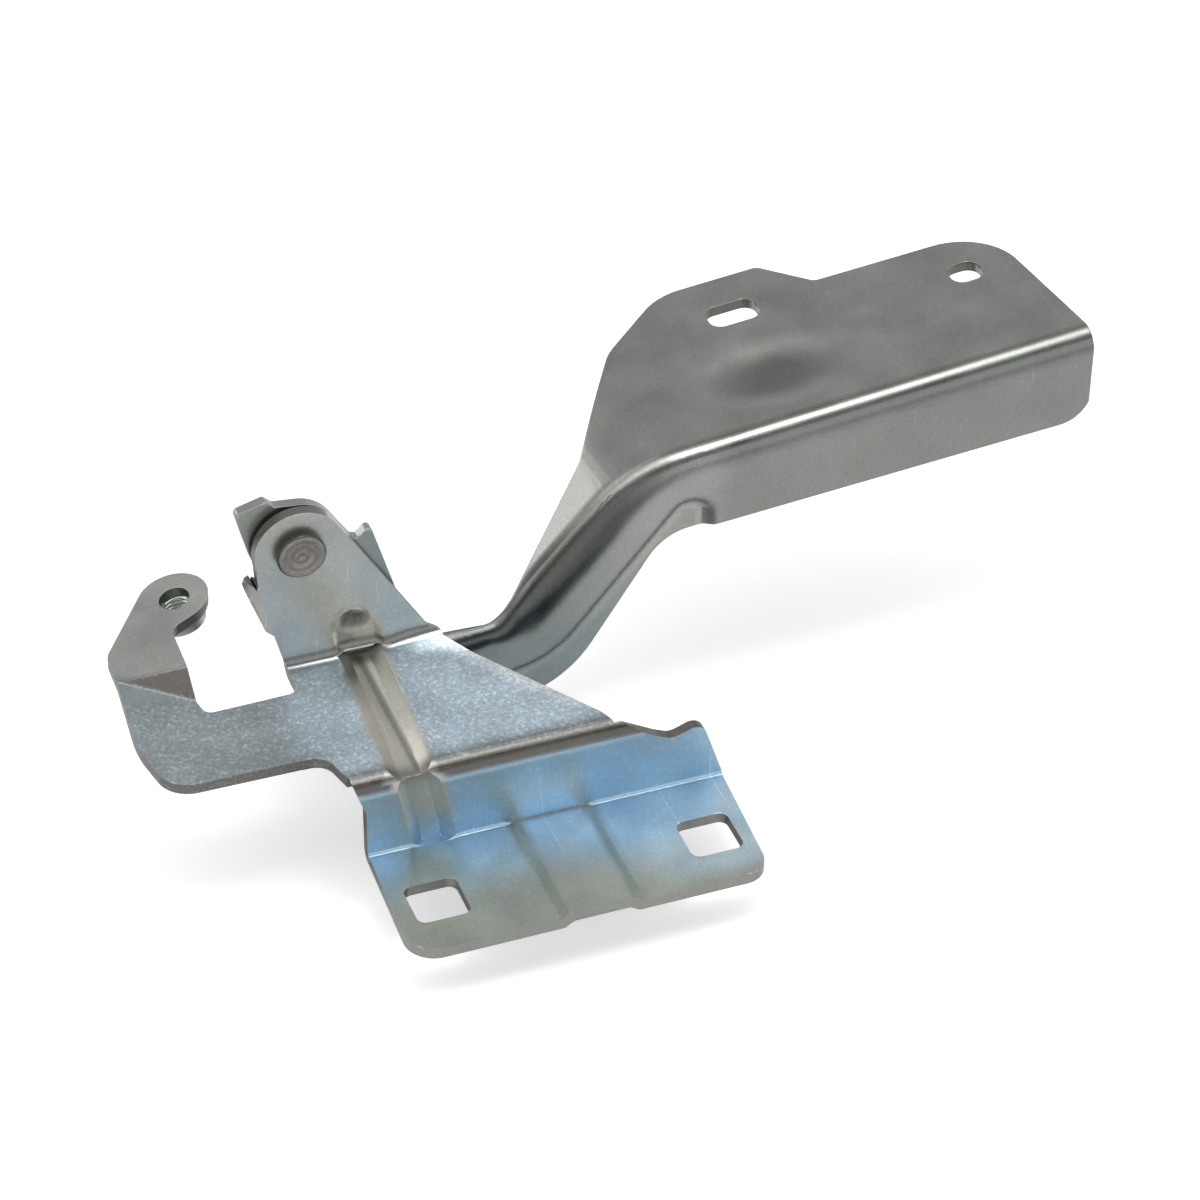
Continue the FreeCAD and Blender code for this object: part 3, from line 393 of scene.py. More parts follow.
def paint(mesh, colours):
    """Store one colour per point, which the finish reads as its tint."""
    layer = mesh.color_attributes.new("tint", "FLOAT_COLOR", "POINT")
    rgba = np.ones((len(colours), 4))
    rgba[:, :3] = colours
    layer.data.foreach_set("color", rgba.ravel())


def paint_grain(mesh, amounts):
    """Store how coarse the plating is at each point, from 0 for smooth to 1 for coarse."""
    layer = mesh.attributes.new("grain", "FLOAT", "POINT")
    layer.data.foreach_set("value", amounts)


def blend(first, second, weight):
    """Mix two colours, or arrays of them: first + (second - first) * weight, for each point."""
    first = np.asarray(first, float)
    return first + (np.asarray(second, float) - first) * weight[:, None]


print("skins: a tint and a grain for each point")

# %% [markdown]
# Clear zinc passivation is thin enough to show interference colours: straw, blue or green, depending
# on how the metal was stretched and where the bath drained. The tints are painted per point, zone by
# zone, and they carry painted light as well: the pale panel and the blue of the foot and strip are
# partly painted reflection, and the fold, ridge, facet, channel, dimple and ear corner get painted
# shade, with painted highlights on a few edges and walls. A zone fades in between the first two numbers
# of its smooth_step. They are millimetres, unless it reads a normal or a share of a radius. Cut edges
# stay darker, because the shear tears them.

# %% Bracket tints: foot and strip
FOOT_GREY = (0.39, 0.42, 0.38)
FOOT_BLUE = (0.46, 0.64, 0.80)
FOOT_CYAN = (0.56, 0.74, 0.86)
FOOT_OLIVE = (0.36, 0.39, 0.33)
STRIP_BLUE = (0.39, 0.55, 0.69)
SHEET = 3.0
RAMP_SLOPES = (-9.0, 11.0)
STRIP_LEAN = 0.28
VALLEY = (20.0, 21.6)


def foot_and_strip(x, y, z):
    """Grey foot that turns blue near the strip, cyan by the right hole, olive at the left, along the
    channel's end and on the two slopes of the ramp, which go on up the blue strip and lean."""
    # Partly painted reflection: the foot turns blue near the strip and gets a brighter cyan patch by the
    # right hole.
    near = smooth_step(-8.0, 16.0, y + 0.10 * x + 2.5 * np.sin(x / 9.0))
    colours = blend(FOOT_GREY, FOOT_BLUE, near)
    cyan = 0.6 * smooth_step(14.0, 32.0, x) * smooth_step(-17.0, -10.0, y)
    colours = blend(colours, FOOT_CYAN, cyan)
    left_olive = 0.5 * smooth_step(-22.0, -34.0, x) * smooth_step(17.0, 8.0, y)
    colours = blend(colours, FOOT_OLIVE, left_olive)
    olive = 0.7 * smooth_step(11.0, 1.0, np.abs(x + 31.0 + 0.2 * y)) * smooth_step(2.0, 15.0, y)
    for slope in RAMP_SLOPES:
        on_slope = 0.8 * smooth_step(2.4, 0.8, np.abs(x - slope)) * smooth_step(2.5, 3.1, z)
        olive = np.maximum(olive, on_slope)
    colours = blend(colours, FOOT_OLIVE, olive)
    # Partly painted reflection: the strip's blue.
    strip = smooth_step(*VALLEY, y)
    colours = blend(colours, STRIP_BLUE, strip)
    for slope in RAMP_SLOPES:
        beside = np.abs(x - slope + STRIP_LEAN * (z - SHEET))
        band = 0.62 * smooth_step(3.4, 0.6, beside) * smooth_step(24.0, 6.0, z) * smooth_step(3.0, 4.0, z)
        colours = blend(colours, FOOT_OLIVE, band * strip)
    return colours


print("foot and strip: olive slopes at x =", RAMP_SLOPES)

# %% Bracket tints: panel, lug and ear
PANEL_PALE = (0.52, 0.62, 0.70)
SIDE_PALE = (0.35, 0.40, 0.42)
SHEEN_PALE = (0.80, 0.86, 0.90)
LUG_GREY = (0.42, 0.43, 0.41)
FACET_SHADE = (0.09, 0.085, 0.078)
EAR_GREY = (0.55, 0.56, 0.535)
DIMPLE = (-33.6, 35.9)
DIMPLE_R = 5.0
DIMPLE_WIDE = 1.08
BOWL_DIM = 0.68
CORNER_DIM = 0.6


def panel_and_lug(colours, x, y, over):
    """Pale panel and darker side arm, partly painted reflection, with a painted highlight along the
    sloping edge, grey lug, and painted shade on the facet that the fold leaves between its own line
    and the crease."""
    # Partly painted reflection: the pale panel and its darker side arm.
    panel = blend(PANEL_PALE, SIDE_PALE, smooth_step(-52.0, -66.0, x))
    colours = blend(colours, panel, over)
    from_slope = 0.83 * (10.46 - 0.676 * (y - 40.0) - x)
    # Painted highlight: a bright band along the sloping edge.
    sheen = 0.7 * smooth_step(5.0, 1.0, from_slope) * over * smooth_step(29.0, 36.0, y)
    colours = blend(colours, SHEEN_PALE, sheen)
    lug = smooth_step(79.0, 80.5, y + 0.75 * (x + 88)) * smooth_step(-60.0, -62.0, x)
    colours = blend(colours, LUG_GREY, lug)
    # Painted shade on the facet between the fold and the crease.
    above_crease = smooth_step(-0.4, 0.8, y - 67.3 + 0.84 * (x + 77.6))
    below_fold = smooth_step(0.6, -0.6, y - 77.1 + 0.26 * (x + 77.0))
    return blend(colours, FACET_SHADE, above_crease * below_fold * smooth_step(-75.0, -76.0, x))


def ear_shades(colours, x, y, z, ear):
    """Grey ear, with shade in the bowl of the dimple and in the corner where the ear meets the panel."""
    colours = blend(colours, EAR_GREY, ear)
    radius = np.hypot((x - DIMPLE[0]) / DIMPLE_WIDE, z - DIMPLE[1]) / DIMPLE_R
    bowl = smooth_step(1.0, 0.35, radius) * smooth_step(75.2, 74.6, y) * ear
    corner = smooth_step(29.4, 28.0, z) * smooth_step(71.9, 72.5, y) * smooth_step(74.4, 74.0, y) * ear
    return colours * (1 - BOWL_DIM * bowl)[:, None] * (1 - CORNER_DIM * corner)[:, None]


print("ear: a dimple of radius", DIMPLE_R, "mm at x, z =", DIMPLE)

# %% Bracket tints: channel and ridge
CHANNEL_STRAW = (0.58, 0.55, 0.48)
RIDGE_SHADE = (0.13, 0.126, 0.115)
RIDGE = (25.0, 25.6)
RIDGE_SOFT = 2.9
WALL_HIGHLIGHT_GAIN = 0.45
FOLD_SHADOW_DIM = 0.55


def panel_channel(y):
    """Middle of the channel on the panel: a straight line, as x for each y."""
    return -35.2 + 0.0585 * (y - 21.5)


def channel_middle(y, z):
    """Middle of the channel on the panel and, below it, on the strip."""
    return np.where(z > 24.0, panel_channel(y), -34.6 + 0.21 * (26.0 - z))


def channel_and_ridge(colours, y, z, ny, nz, off_middle):
    """Straw channel with a painted shadow along its fold and a painted highlight on its right wall, and
    painted shade on the ridge.
    """
    channel = smooth_step(6.9, 6.0, np.abs(off_middle)) * smooth_step(73.0, 71.0, y)
    channel *= smooth_step(19.0, 20.6, y)
    colours = blend(colours, CHANNEL_STRAW, channel * smooth_step(3, 14, z) * 0.9)
    # Painted shadow along the channel's fold and painted highlight on its right wall.
    trough = channel * smooth_step(24.0, 28.0, y) * smooth_step(14.0, 20.0, z)
    fold_shadow = np.exp(-((off_middle - 1.6) / 0.8) ** 2)
    wall_highlight = smooth_step(2.4, 3.2, off_middle) * smooth_step(6.4, 5.6, off_middle)
    colours = colours * (1 + trough * (WALL_HIGHLIGHT_GAIN * wall_highlight - FOLD_SHADOW_DIM * fold_shadow))[:, None]
    # Painted shade on the ridge's rounding, found by its normals, and in a band along the ridge.
    rounding = smooth_step(0.03, 0.25, -ny) * smooth_step(0.12, 0.5, nz) * smooth_step(18.0, 20.0, z)
    rounding *= smooth_step(32.0, 28.0, y) * (1 - channel)
    from_ridge = np.hypot(y - RIDGE[0], 0.9 * (z - RIDGE[1])) / RIDGE_SOFT
    band = np.exp(-from_ridge ** 2) * smooth_step(*VALLEY, y)
    return blend(colours, RIDGE_SHADE, np.maximum(rounding, 0.85 * band))


channel_ends = [round(panel_channel(y), 1) for y in (24.0, 72.0)]
print("channel: its middle runs between x =", channel_ends)

# %% Bracket tints: all zones
UNDER_GREY = (0.42, 0.44, 0.44)
EDGE_GREY = (0.34, 0.34, 0.32)
EDGE_BROWN = (0.19, 0.186, 0.175)


def bracket_tint(points, normals):
    """The zones in turn, then the underside, then the cut edges, whose normals lie in the sheet."""
    x, y, z = points.T
    _, ny, nz = normals.T
    over = smooth_step(23.0, 25.4, z) * smooth_step(22.0, 25.0, y)
    ear = smooth_step(70.8, 72.6, y) * smooth_step(-62.0, -60.0, x)
    off_middle = x - channel_middle(y, z)
    colours = panel_and_lug(foot_and_strip(x, y, z), x, y, over)
    colours = ear_shades(colours, x, y, z, ear)
    colours = channel_and_ridge(colours, y, z, ny, nz, off_middle)
    colours = blend(colours, UNDER_GREY, smooth_step(0.2, 0.7, -nz) * (1 - ear))
    upright = np.maximum(ear, smooth_step(20.6, 21.4, y) * smooth_step(26.0, 25.0, y) * (1 - over))
    through = np.abs(nz) * (1 - upright) + np.abs(ny) * upright
    in_channel = smooth_step(8.0, 7.0, np.abs(off_middle)) * smooth_step(18.0, 19.5, y)
    edge = blend(EDGE_GREY, EDGE_BROWN, smooth_step(6.0, 14.0, z))
    return blend(colours, edge, smooth_step(0.55, 0.25, through) * (1 - in_channel))


print("bracket: cut edges go from", EDGE_GREY, "to", EDGE_BROWN)

# %% [markdown]
# The bracket's die presses a channel from the foot of the ear down to the foot plate. On the ear it
# ends in a round dimple, which starts the metal flowing, and on the foot it fades out. The ramp across
# the foot fades up the strip in the same way, and the far end of the panel is pinched by the fold.
# Each form is a depth that depends on place, so the skin's points are simply pushed along it.

# %% Bracket: pressed details
DIMPLE_DEEP = 1.9
RAMP_RISE = 1.6
RAMP_LEFT = (-10.5, -7.6)
RAMP_RIGHT = (12.5, 9.6)
FOOT_CHANNEL = -29.6
FOOT_CHANNEL_DEEP = 0.9
PINCH_LIFT = 0.2


def press_ear(x, y, z):
    """Depth of the channel, which deepens downwards, plus a bowl of (1 - r^2)^2 for the dimple."""
    on_ear = smooth_step(75.2, 74.6, y) * smooth_step(70.0, 71.5, y) * smooth_step(21.5, 23.5, z)
    middle = -31.1 - 0.254 * (z - 24.9)
    channel = smooth_step(6.8, 4.6, np.abs(x - middle)) * smooth_step(37.0, 33.0, z)
    radius = np.hypot((x - DIMPLE[0]) / DIMPLE_WIDE, z - DIMPLE[1]) / DIMPLE_R
    bowl = (1 - np.clip(radius, 0, 1) ** 2) ** 2
    fading = 0.5 + 1.5 * smooth_step(36.0, 26.0, z)
    return on_ear * (fading * channel + DIMPLE_DEEP * bowl * (1 - 0.3 * channel))


def press_strip(x, y, z):
    """Height of the ramp on the strip: a flat top between two slopes that lean and fade upwards."""
    lean = x + STRIP_LEAN * np.clip(z - SHEET, 0, 24)
    ramp = smooth_step(*RAMP_LEFT, lean) * smooth_step(*RAMP_RIGHT, lean)
    up_strip = smooth_step(18.0, 5.0, z) * smooth_step(16.0, 21.0, y) * smooth_step(30.0, 26.0, y)
    return RAMP_RISE * ramp * up_strip


def press_bracket(points):
    """Push the ear back and the strip forward, sink the channel's end into the foot, and lift the
    metal behind the pinched crease at the far end of the panel."""
    x, y, z = points.T
    moved = points.copy()
    moved[:, 1] += press_ear(x, y, z)
    moved[:, 1] -= press_strip(x, y, z)
    foot_channel = smooth_step(7.0, 3.2, np.abs(x - FOOT_CHANNEL)) * smooth_step(0.0, 20.0, y)
    top_of_foot = smooth_step(2.0, 2.8, z) * smooth_step(5.6, 4.6, z) * smooth_step(24.4, 24.0, y)
    level = SHEET - FOOT_CHANNEL_DEEP * smooth_step(0.0, 14.0, y)
    moved[:, 2] += foot_channel * top_of_foot * (level - z)
    crease = 68.9 - (x + 23.4) * 0.33
    pinch = np.clip(y - crease, 0, 6) * smooth_step(-25.0, -19.0, x) * smooth_step(34.0, 27.0, z)
    moved[:, 2] += PINCH_LIFT * pinch * smooth_step(18.0, 22.0, z) * smooth_step(76.4, 72.5, y)
    return moved


print("ear: dimple", DIMPLE_DEEP, "mm deep, strip: ramp", RAMP_RISE, "mm high")

# %% Bracket: skin
FINE_BOXES = [
    (0.9, (-42, 72.5, 25), (-24, 74.4, 43)),
    (0.8, (-98, 61, 25.5), (-74, 86, 34)),
    (0.9, (-45, 24, 23), (-24, 74, 26.2)),
]
SMOOTH_GRAIN = 0.22
COARSE_GRAIN = 0.70


def bracket_grain(points):
    """Coarse on the panel and smooth elsewhere, with the channel as smooth as the ear."""
    x, y, _ = points.T
    beside = smooth_step(5.8, 7.0, np.abs(x - panel_channel(y)))
    return SMOOTH_GRAIN + COARSE_GRAIN * smooth_step(22.0, 26.0, y) * smooth_step(72.5, 70.0, y) * beside


bracket = merged_copy("body_bracket", "bracket_skin")
round_edges(bracket, EDGE_ROUND)
slice_grid(bracket, SLICE)
for step, low, high in FINE_BOXES:
    slice_grid(bracket, step, low, high)
paint(bracket.data, bracket_tint(points_of(bracket.data), normals_of(bracket.data)))
paint_grain(bracket.data, bracket_grain(points_of(bracket.data)))
set_points(bracket.data, press_bracket(points_of(bracket.data)))
print("bracket skin:", len(bracket.data.polygons), "faces")

# %% [markdown]
# The arm's crown line is the fold between web and flange, and its step line is where the web steps
# back below the gooseneck. Both are straight runs joined by arcs, as a toolmaker would draw them. The
# distance of each point beside such a line steers both the shapes and the tints of the arm.

# %% Arm: guide lines
CROWN = [(185.0, 74.97, 0), (45.7, 59.9, 40.0), (9.2, 19.0, 8.0), (-12.9, 16.65, 0)]
STEP = [
    (67.4, -20.0, 0),
    (66.4, 44.6, 3.0),
    (60.0, 49.6, 6.0),
    (23.0, 5.6, 26.0),
    (-9.5, -0.4, 4.0),
    (-16.0, -20.0, 0),
]
ARC_POINTS = 25
CHUNK = 4000


def rounded_line(corners, spacing=0.4):
    """Even points along straight runs joined by tangent arcs; a corner is (x, z, radius), and its arc
    starts radius / tan(half the angle) before it."""
    spots = np.array([corner[:2] for corner in corners], float)
    line = [spots[0]]
    for i in range(1, len(corners) - 1):
        round_by = corners[i][2]
        before = spots[i - 1] - spots[i]
        after = spots[i + 1] - spots[i]
        before /= np.linalg.norm(before)
        after /= np.linalg.norm(after)
        half = math.acos(np.clip(before @ after, -1, 1)) / 2
        reach = round_by / math.tan(half)
        inward = (before + after) / np.linalg.norm(before + after)
        middle = spots[i] + inward * round_by / math.sin(half)
        first = spots[i] + before * reach - middle
        last = spots[i] + after * reach - middle
        sweep = math.atan2(first[0] * last[1] - first[1] * last[0], first @ last)
        for part in np.linspace(0, sweep, ARC_POINTS):
            cos, sin = math.cos(part), math.sin(part)
            line.append(middle + (first[0] * cos - first[1] * sin, first[0] * sin + first[1] * cos))
    line.append(spots[-1])
    line = np.array(line)
    run = np.r_[0, np.cumsum(np.linalg.norm(np.diff(line, axis=0), axis=1))]
    even = np.arange(0, run[-1], spacing)
    return np.stack([np.interp(even, run, line[:, 0]), np.interp(even, run, line[:, 1])], -1)


def beside_line(line, x, z):
    """Signed distance to a line of points, positive on its left, and the line's left normal there."""
    spots = np.stack([x, z], -1)
    heading = np.gradient(line, axis=0)
    heading /= np.linalg.norm(heading, axis=1)[:, None]
    left = np.stack([-heading[:, 1], heading[:, 0]], -1)
    nearest = np.zeros(len(spots), int)
    for first in range(0, len(spots), CHUNK):
        gap = spots[first:first + CHUNK, None, :] - line[None]
        nearest[first:first + CHUNK] = (gap ** 2).sum(-1).argmin(1)
    gap = spots - line[nearest]
    return (gap * left[nearest]).sum(-1), left[nearest]


crown_line = rounded_line(CROWN)
step_line = rounded_line(STEP)
print("crown line:", len(crown_line), "points, step line:", len(step_line), "points")

# %% [markdown]
# The arm's plating is a plainer grey, with a green cast where it drained below the gooseneck. The fold
# and the dish get painted shade, the step a painted shade with a painted highlight beside it, and the
# web is painted lighter towards the gooseneck.

# %% Arm: tints
ARM_FRONT = 77.4
FLANGE_GREY = (0.32, 0.325, 0.31)
WEB_GREY = (0.29, 0.30, 0.285)
NECK_GREEN = (0.30, 0.35, 0.35)
FLANGE_STARTS = (80.0, 83.0)
DISH_MIDDLE = (94.0, 102.0)
DISH_SHADE = (17.0, 10.0)
DISH_DIM = 0.38
BEND_DIM = 0.30
NECK_DIM = 0.42


def bend_radius(x):
    """Outer radius of the arm's bend: wide in the gooseneck, but never wider than the flange."""
    flange_width = np.interp(x, [-16, 5, 13, 38, 57], [7.6, 4.6, 6.4, 21.0, 50.0])
    wide = 5.6 + 3.6 * smooth_step(62, 36, x) * smooth_step(-2, 22, x)
    return np.minimum(wide, flange_width - 0.3)


def bend_shade(x, y, z):
    """Painted shade on the dark part of the fold: u = (inward - below) / radius runs from web to flange,
    and the shade reaches further up the fold in the gooseneck."""
    below, _ = beside_line(crown_line, x, z)
    u = (y - ARM_FRONT - below) / bend_radius(x)
    top = 0.5 + 0.6 * smooth_step(45.0, 20.0, x)
    shade = smooth_step(-1.2, -0.6, u) * smooth_step(top, top - 0.6, u) * (below < 16)
    shade *= smooth_step(-15.0, -12.0, x)
    return (BEND_DIM + NECK_DIM * smooth_step(64.0, 40.0, x)) * shade


def step_shade_and_highlight(x, z, flange):
    """Painted shade along the step of the web, with a painted highlight beside it."""
    beside, _ = beside_line(step_line, x, z)
    beside = np.where(flange > 0.5, 99, beside)
    dark = 0.34 * np.exp(-((beside + 0.2) / 1.3) ** 2)
    pale = 0.22 * np.exp(-((beside - 2.6) / 0.9) ** 2)
    return dark - pale


def arm_tint(points, normals):
    """Web and flange greys, the green cast, the web painted lighter towards the gooseneck, painted
    shade in the dish, fold and step with a painted highlight by the step, and then the cut edges,
    whose normals lie in the sheet."""
    x, y, z = points.T
    nx, ny, nz = normals.T
    flange = smooth_step(*FLANGE_STARTS, y)
    colours = blend(WEB_GREY, FLANGE_GREY, flange)
    # Painted light: the web is painted up to 30 percent lighter towards the gooseneck.
    colours *= (1 + 0.30 * smooth_step(76.0, 62.0, x) * (1 - flange))[:, None]
    neck = smooth_step(70.0, 30.0, x) * smooth_step(32.0, 8.0, z) * (1 - flange)
    colours = blend(colours, NECK_GREEN, neck)
    radius = np.hypot((x - DISH_MIDDLE[0]) / DISH_SHADE[0], (y - DISH_MIDDLE[1]) / DISH_SHADE[1])
    # Painted shade: the dish is painted darker.
    colours *= (1 - DISH_DIM * smooth_step(1.25, 0.4, radius) * flange)[:, None]
    # Painted shade along the fold.
    colours *= (1 - bend_shade(x, y, z))[:, None]
    # Painted shade along the step, with a painted highlight beside it.
    colours *= (1 - step_shade_and_highlight(x, z, flange))[:, None]
    on_flange = np.where(np.abs(ny) > 0.5, 0, np.hypot(nx, nz))
    through = np.where(y > 82.6, on_flange, np.abs(ny))
    cut = smooth_step(0.55, 0.25, through) * (1 - smooth_step(0.6, 0.9, nz) * smooth_step(60, 40, y))
    bend = smooth_step(77.0, 77.6, y) * smooth_step(82.6, 80.4, y) * smooth_step(0.1, 0.4, nz)
    return blend(colours, EDGE_BROWN, cut * (1 - bend))


print("arm: painted around a dish at", DISH_MIDDLE)

# %% [markdown]
# The arm's flange carries a soft oval dish below its slot, drawn down a little more than a millimetre,
# and painted shade gives it a darker patch with a soft rim. The solid's fold has one small radius, and
# here it is carried onto a wider one that swells in the gooseneck. The step of the web gets a soft slope.

# %% Arm: wider bend
BEND_R = 3.8


def widen_bend(points):
    """Carry the sheet's bend onto a larger arc: u = a - b runs from web to flange around the corner,
    and the arc's angle grows evenly with u. The arc is widest in the gooseneck."""
    x, y, z = points.T
    below, normal = beside_line(crown_line, x, z)
    inward = y - ARM_FRONT
    near_arc = (inward < BEND_R) & (below < BEND_R)
    depth = np.minimum(inward, below)
    on_arc = BEND_R - np.hypot(BEND_R - inward, BEND_R - below)
    depth = np.clip(np.where(near_arc, on_arc, depth), 0, SHEET)
    radius = bend_radius(x) - depth
    u = inward - below
    inside = (np.abs(u) < radius) & (below > -1) & (below < 16) & (inward > -0.5) & (x > -13)
    angle = np.pi / 4 * (1 + np.clip(u / radius, -1, 1))
    new_inward = depth + radius - radius * np.cos(angle)
    new_below = depth + radius - radius * np.sin(angle)
    moved = points.copy()
    moved[:, 1] = np.where(inside, ARM_FRONT + new_inward, y)
    shift = np.where(inside, new_below - below, 0)
    moved[:, 0] = np.clip(x + shift * normal[:, 0], x.min(), x.max())
    moved[:, 2] += shift * normal[:, 1]
    return moved


neck_radius, flange_radius = bend_radius(np.array([25.0, 120.0]))
print("bend radius:", round(neck_radius, 1), "mm in the neck,", round(flange_radius, 1), "mm on the flange")

# %% Arm: dish, step and skin
DISH_HALF = (27.0, 17.0)
DISH_DEEP = 1.3
STEP_DEEP = 2.0
STEP_SOFT = 1.9
ARM_FINE = (1.0, (-14, 76.5, -6), (70, 90, 60))
PRESSED_GAP = 0.03


def press_arm(points):
    """Press the oval dish down, and let the step under the gooseneck run back on a soft slope."""
    x, y, z = points.T
    moved = points.copy()
    radius = np.hypot((x - DISH_MIDDLE[0]) / DISH_HALF[0], (y - DISH_MIDDLE[1]) / DISH_HALF[1])
    moved[:, 2] -= DISH_DEEP * smooth_step(1.0, 0.3, radius) * smooth_step(84, 86, y)
    outside, _ = beside_line(step_line, x, z)
    back = STEP_DEEP * smooth_step(-STEP_SOFT, STEP_SOFT, outside)
    on_web = (y < ARM_FRONT + SHEET + STEP_DEEP + 0.1) & (np.abs(outside) < STEP_SOFT)
    behind = y > ARM_FRONT + STEP_DEEP + 0.5
    moved[:, 1] = np.where(on_web, ARM_FRONT + np.where(behind, SHEET, 0) + back, y)
    return moved


arm = merged_copy("bonnet_arm", "arm_skin")
round_edges(arm, EDGE_ROUND)
slice_grid(arm, SLICE)
slice_grid(arm, *ARM_FINE)
paint(arm.data, arm_tint(points_of(arm.data), normals_of(arm.data)))
paint_grain(arm.data, np.full(len(arm.data.vertices), SMOOTH_GRAIN))
set_points(arm.data, widen_bend(press_arm(points_of(arm.data))))
weld(arm.data, PRESSED_GAP)
print("arm skin:", len(arm.data.polygons), "faces")

# %% [markdown]
# Zinc plate is a metal, so the finish is all reflection: a tint, a roughness that clouds from place to
# place, fine grain from the steel below, and a few handling scratches. The bracket's panel is coarser
# than the rest, so the painted grain is strongest there.


# %% Finishes
SPECK_STOPS = [(0.30, grey(0.84)), (0.48, grey(1.0)), (0.62, grey(1.22)), (0.72, grey(1.7))]
CLOUD_STOPS = [(0.3, grey(0.92)), (0.7, grey(1.06))]
SPECK_SCALE = 1100.0
CLOUD_SCALE = 70.0
STAIN_SCALE = 500.0
SCRATCH_TURN = (0.3, 0.2, 0.9)
SCRATCH_STRETCH = (1800.0, 14.0, 60.0)
CLOUD_ROUGH = 0.22
GRAIN_BUMP = 0.16
GRAIN_DEEP = 0.15


def scratch_lines(nodes, links, place, scratch):
    """Noise stretched into long thin lines, of which only the highest crests show as bright scratches."""
    stretch = nodes.new("ShaderNodeMapping")
    stretch.inputs["Rotation"].default_value = SCRATCH_TURN
    stretch.inputs["Scale"].default_value = SCRATCH_STRETCH
    links.new(place, stretch.inputs["Vector"])
    lines = noise_node(nodes, links, stretch.outputs[0], 1.0, 1.0)
    return ramp_node(nodes, links, lines, [(0.74, grey(1.0)), (0.80, grey(1.0 + scratch))])


def zinc_finish(name, roughness, scratch):
    """Plated steel: painted tint times specks, clouds and scratches; roughness clouds in the same
    places, and the specks also lift the surface where the painted grain is coarse."""
    material = bpy.data.materials.new(name)
    material.use_nodes = True
    nodes, links = new_tree(material.node_tree)
    place = nodes.new("ShaderNodeTexCoord").outputs["Object"]
    tint = nodes.new("ShaderNodeAttribute")
    tint.attribute_name = "tint"
    coarse = nodes.new("ShaderNodeAttribute")
    coarse.attribute_name = "grain"
    clouds = noise_node(nodes, links, place, CLOUD_SCALE, 4.0)
    specks = noise_node(nodes, links, place, SPECK_SCALE, 2.0)
    specks_seen = nodes.new("ShaderNodeMix")
    specks_seen.data_type = "RGBA"
    specks_seen.inputs["A"].default_value = (*grey(1), 1)
    links.new(coarse.outputs["Fac"], specks_seen.inputs["Factor"])
    links.new(ramp_node(nodes, links, specks, SPECK_STOPS), specks_seen.inputs["B"])
    colour = multiply_colours(nodes, links, tint.outputs["Color"], specks_seen.outputs["Result"])
    colour = multiply_colours(nodes, links, colour, ramp_node(nodes, links, clouds, CLOUD_STOPS))
    colour = multiply_colours(nodes, links, colour, scratch_lines(nodes, links, place, scratch))
    shader = nodes.new("ShaderNodeBsdfPrincipled")
    shader.inputs["Metallic"].default_value = 1.0
    links.new(colour, shader.inputs["Base Color"])
    rough = math_node(nodes, links, "MULTIPLY_ADD", clouds, CLOUD_ROUGH)
    rough.node.inputs[2].default_value = roughness - CLOUD_ROUGH / 2
    links.new(rough, shader.inputs["Roughness"])
    bump = nodes.new("ShaderNodeBump")
    bump.inputs["Distance"].default_value = GRAIN_DEEP * MM
    strength = math_node(nodes, links, "MULTIPLY", coarse.outputs["Fac"], GRAIN_BUMP)
    links.new(strength, bump.inputs["Strength"])
    links.new(specks, bump.inputs["Height"])
    links.new(bump.outputs[0], shader.inputs["Normal"])
    output = nodes.new("ShaderNodeOutputMaterial")
    links.new(shader.outputs[0], output.inputs["Surface"])
    return material


def plain_finish(name, colour, roughness):
    """Bare or oiled metal whose tone clouds between the colour and a darker one."""
    material = bpy.data.materials.new(name)
    material.use_nodes = True
    nodes, links = new_tree(material.node_tree)
    place = nodes.new("ShaderNodeTexCoord").outputs["Object"]
    clouds = noise_node(nodes, links, place, STAIN_SCALE, 3.0)
    dark = tuple(0.6 * part for part in colour)
    tone = ramp_node(nodes, links, clouds, [(0.3, dark), (0.65, colour)])
    shader = nodes.new("ShaderNodeBsdfPrincipled")
    shader.inputs["Metallic"].default_value = 1.0
    shader.inputs["Roughness"].default_value = roughness
    links.new(tone, shader.inputs["Base Color"])
    output = nodes.new("ShaderNodeOutputMaterial")
    links.new(shader.outputs[0], output.inputs["Surface"])
    return material


bracket_zinc = zinc_finish("bracket_zinc", 0.34, 0.4)
arm_zinc = zinc_finish("arm_zinc", 0.29, 0.2)
rivet_steel = zinc_finish("rivet_steel", 0.36, 0.2)
bush_bronze = plain_finish("bush_bronze", (0.50, 0.38, 0.22), 0.38)
nut_zinc = plain_finish("nut_zinc", (0.55, 0.60, 0.56), 0.22)
print("five finishes")

# %% [markdown]
# A skin rides on the same body as its solid and stands in its place, so that it moves with the joint.
# Edges that turn by more than 48 degrees stay crisp, and the rest is shaded smooth.


# %% Dress the skins
CRISP = math.radians(48)


def finish_skin(piece, node, body, material):
    """Give the piece its finish and smooth shading, then let it stand for its solid."""
    piece.data.materials.clear()
    piece.data.materials.append(material)
    piece.data.shade_smooth()
    piece.data.set_sharp_from_angle(angle=CRISP)
    even_normals(piece)
    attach(piece, body)
    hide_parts(node)


finish_skin(bracket, "body_bracket", "bracket", bracket_zinc)
finish_skin(arm, "bonnet_arm", "arm", arm_zinc)
print("bracket and arm are dressed")

# %% [markdown]
# The pivot is a shouldered rivet, turned and then headed over a dimpled punch, which leaves rings in
# its flat face. It is one profile spun about the pivot axis, from the rear head to the front one. The
# side of the front head is painted dark, as painted shade, and the rim of its face is painted paler.

# %% Turned surfaces
SEAM_GAP = 0.001


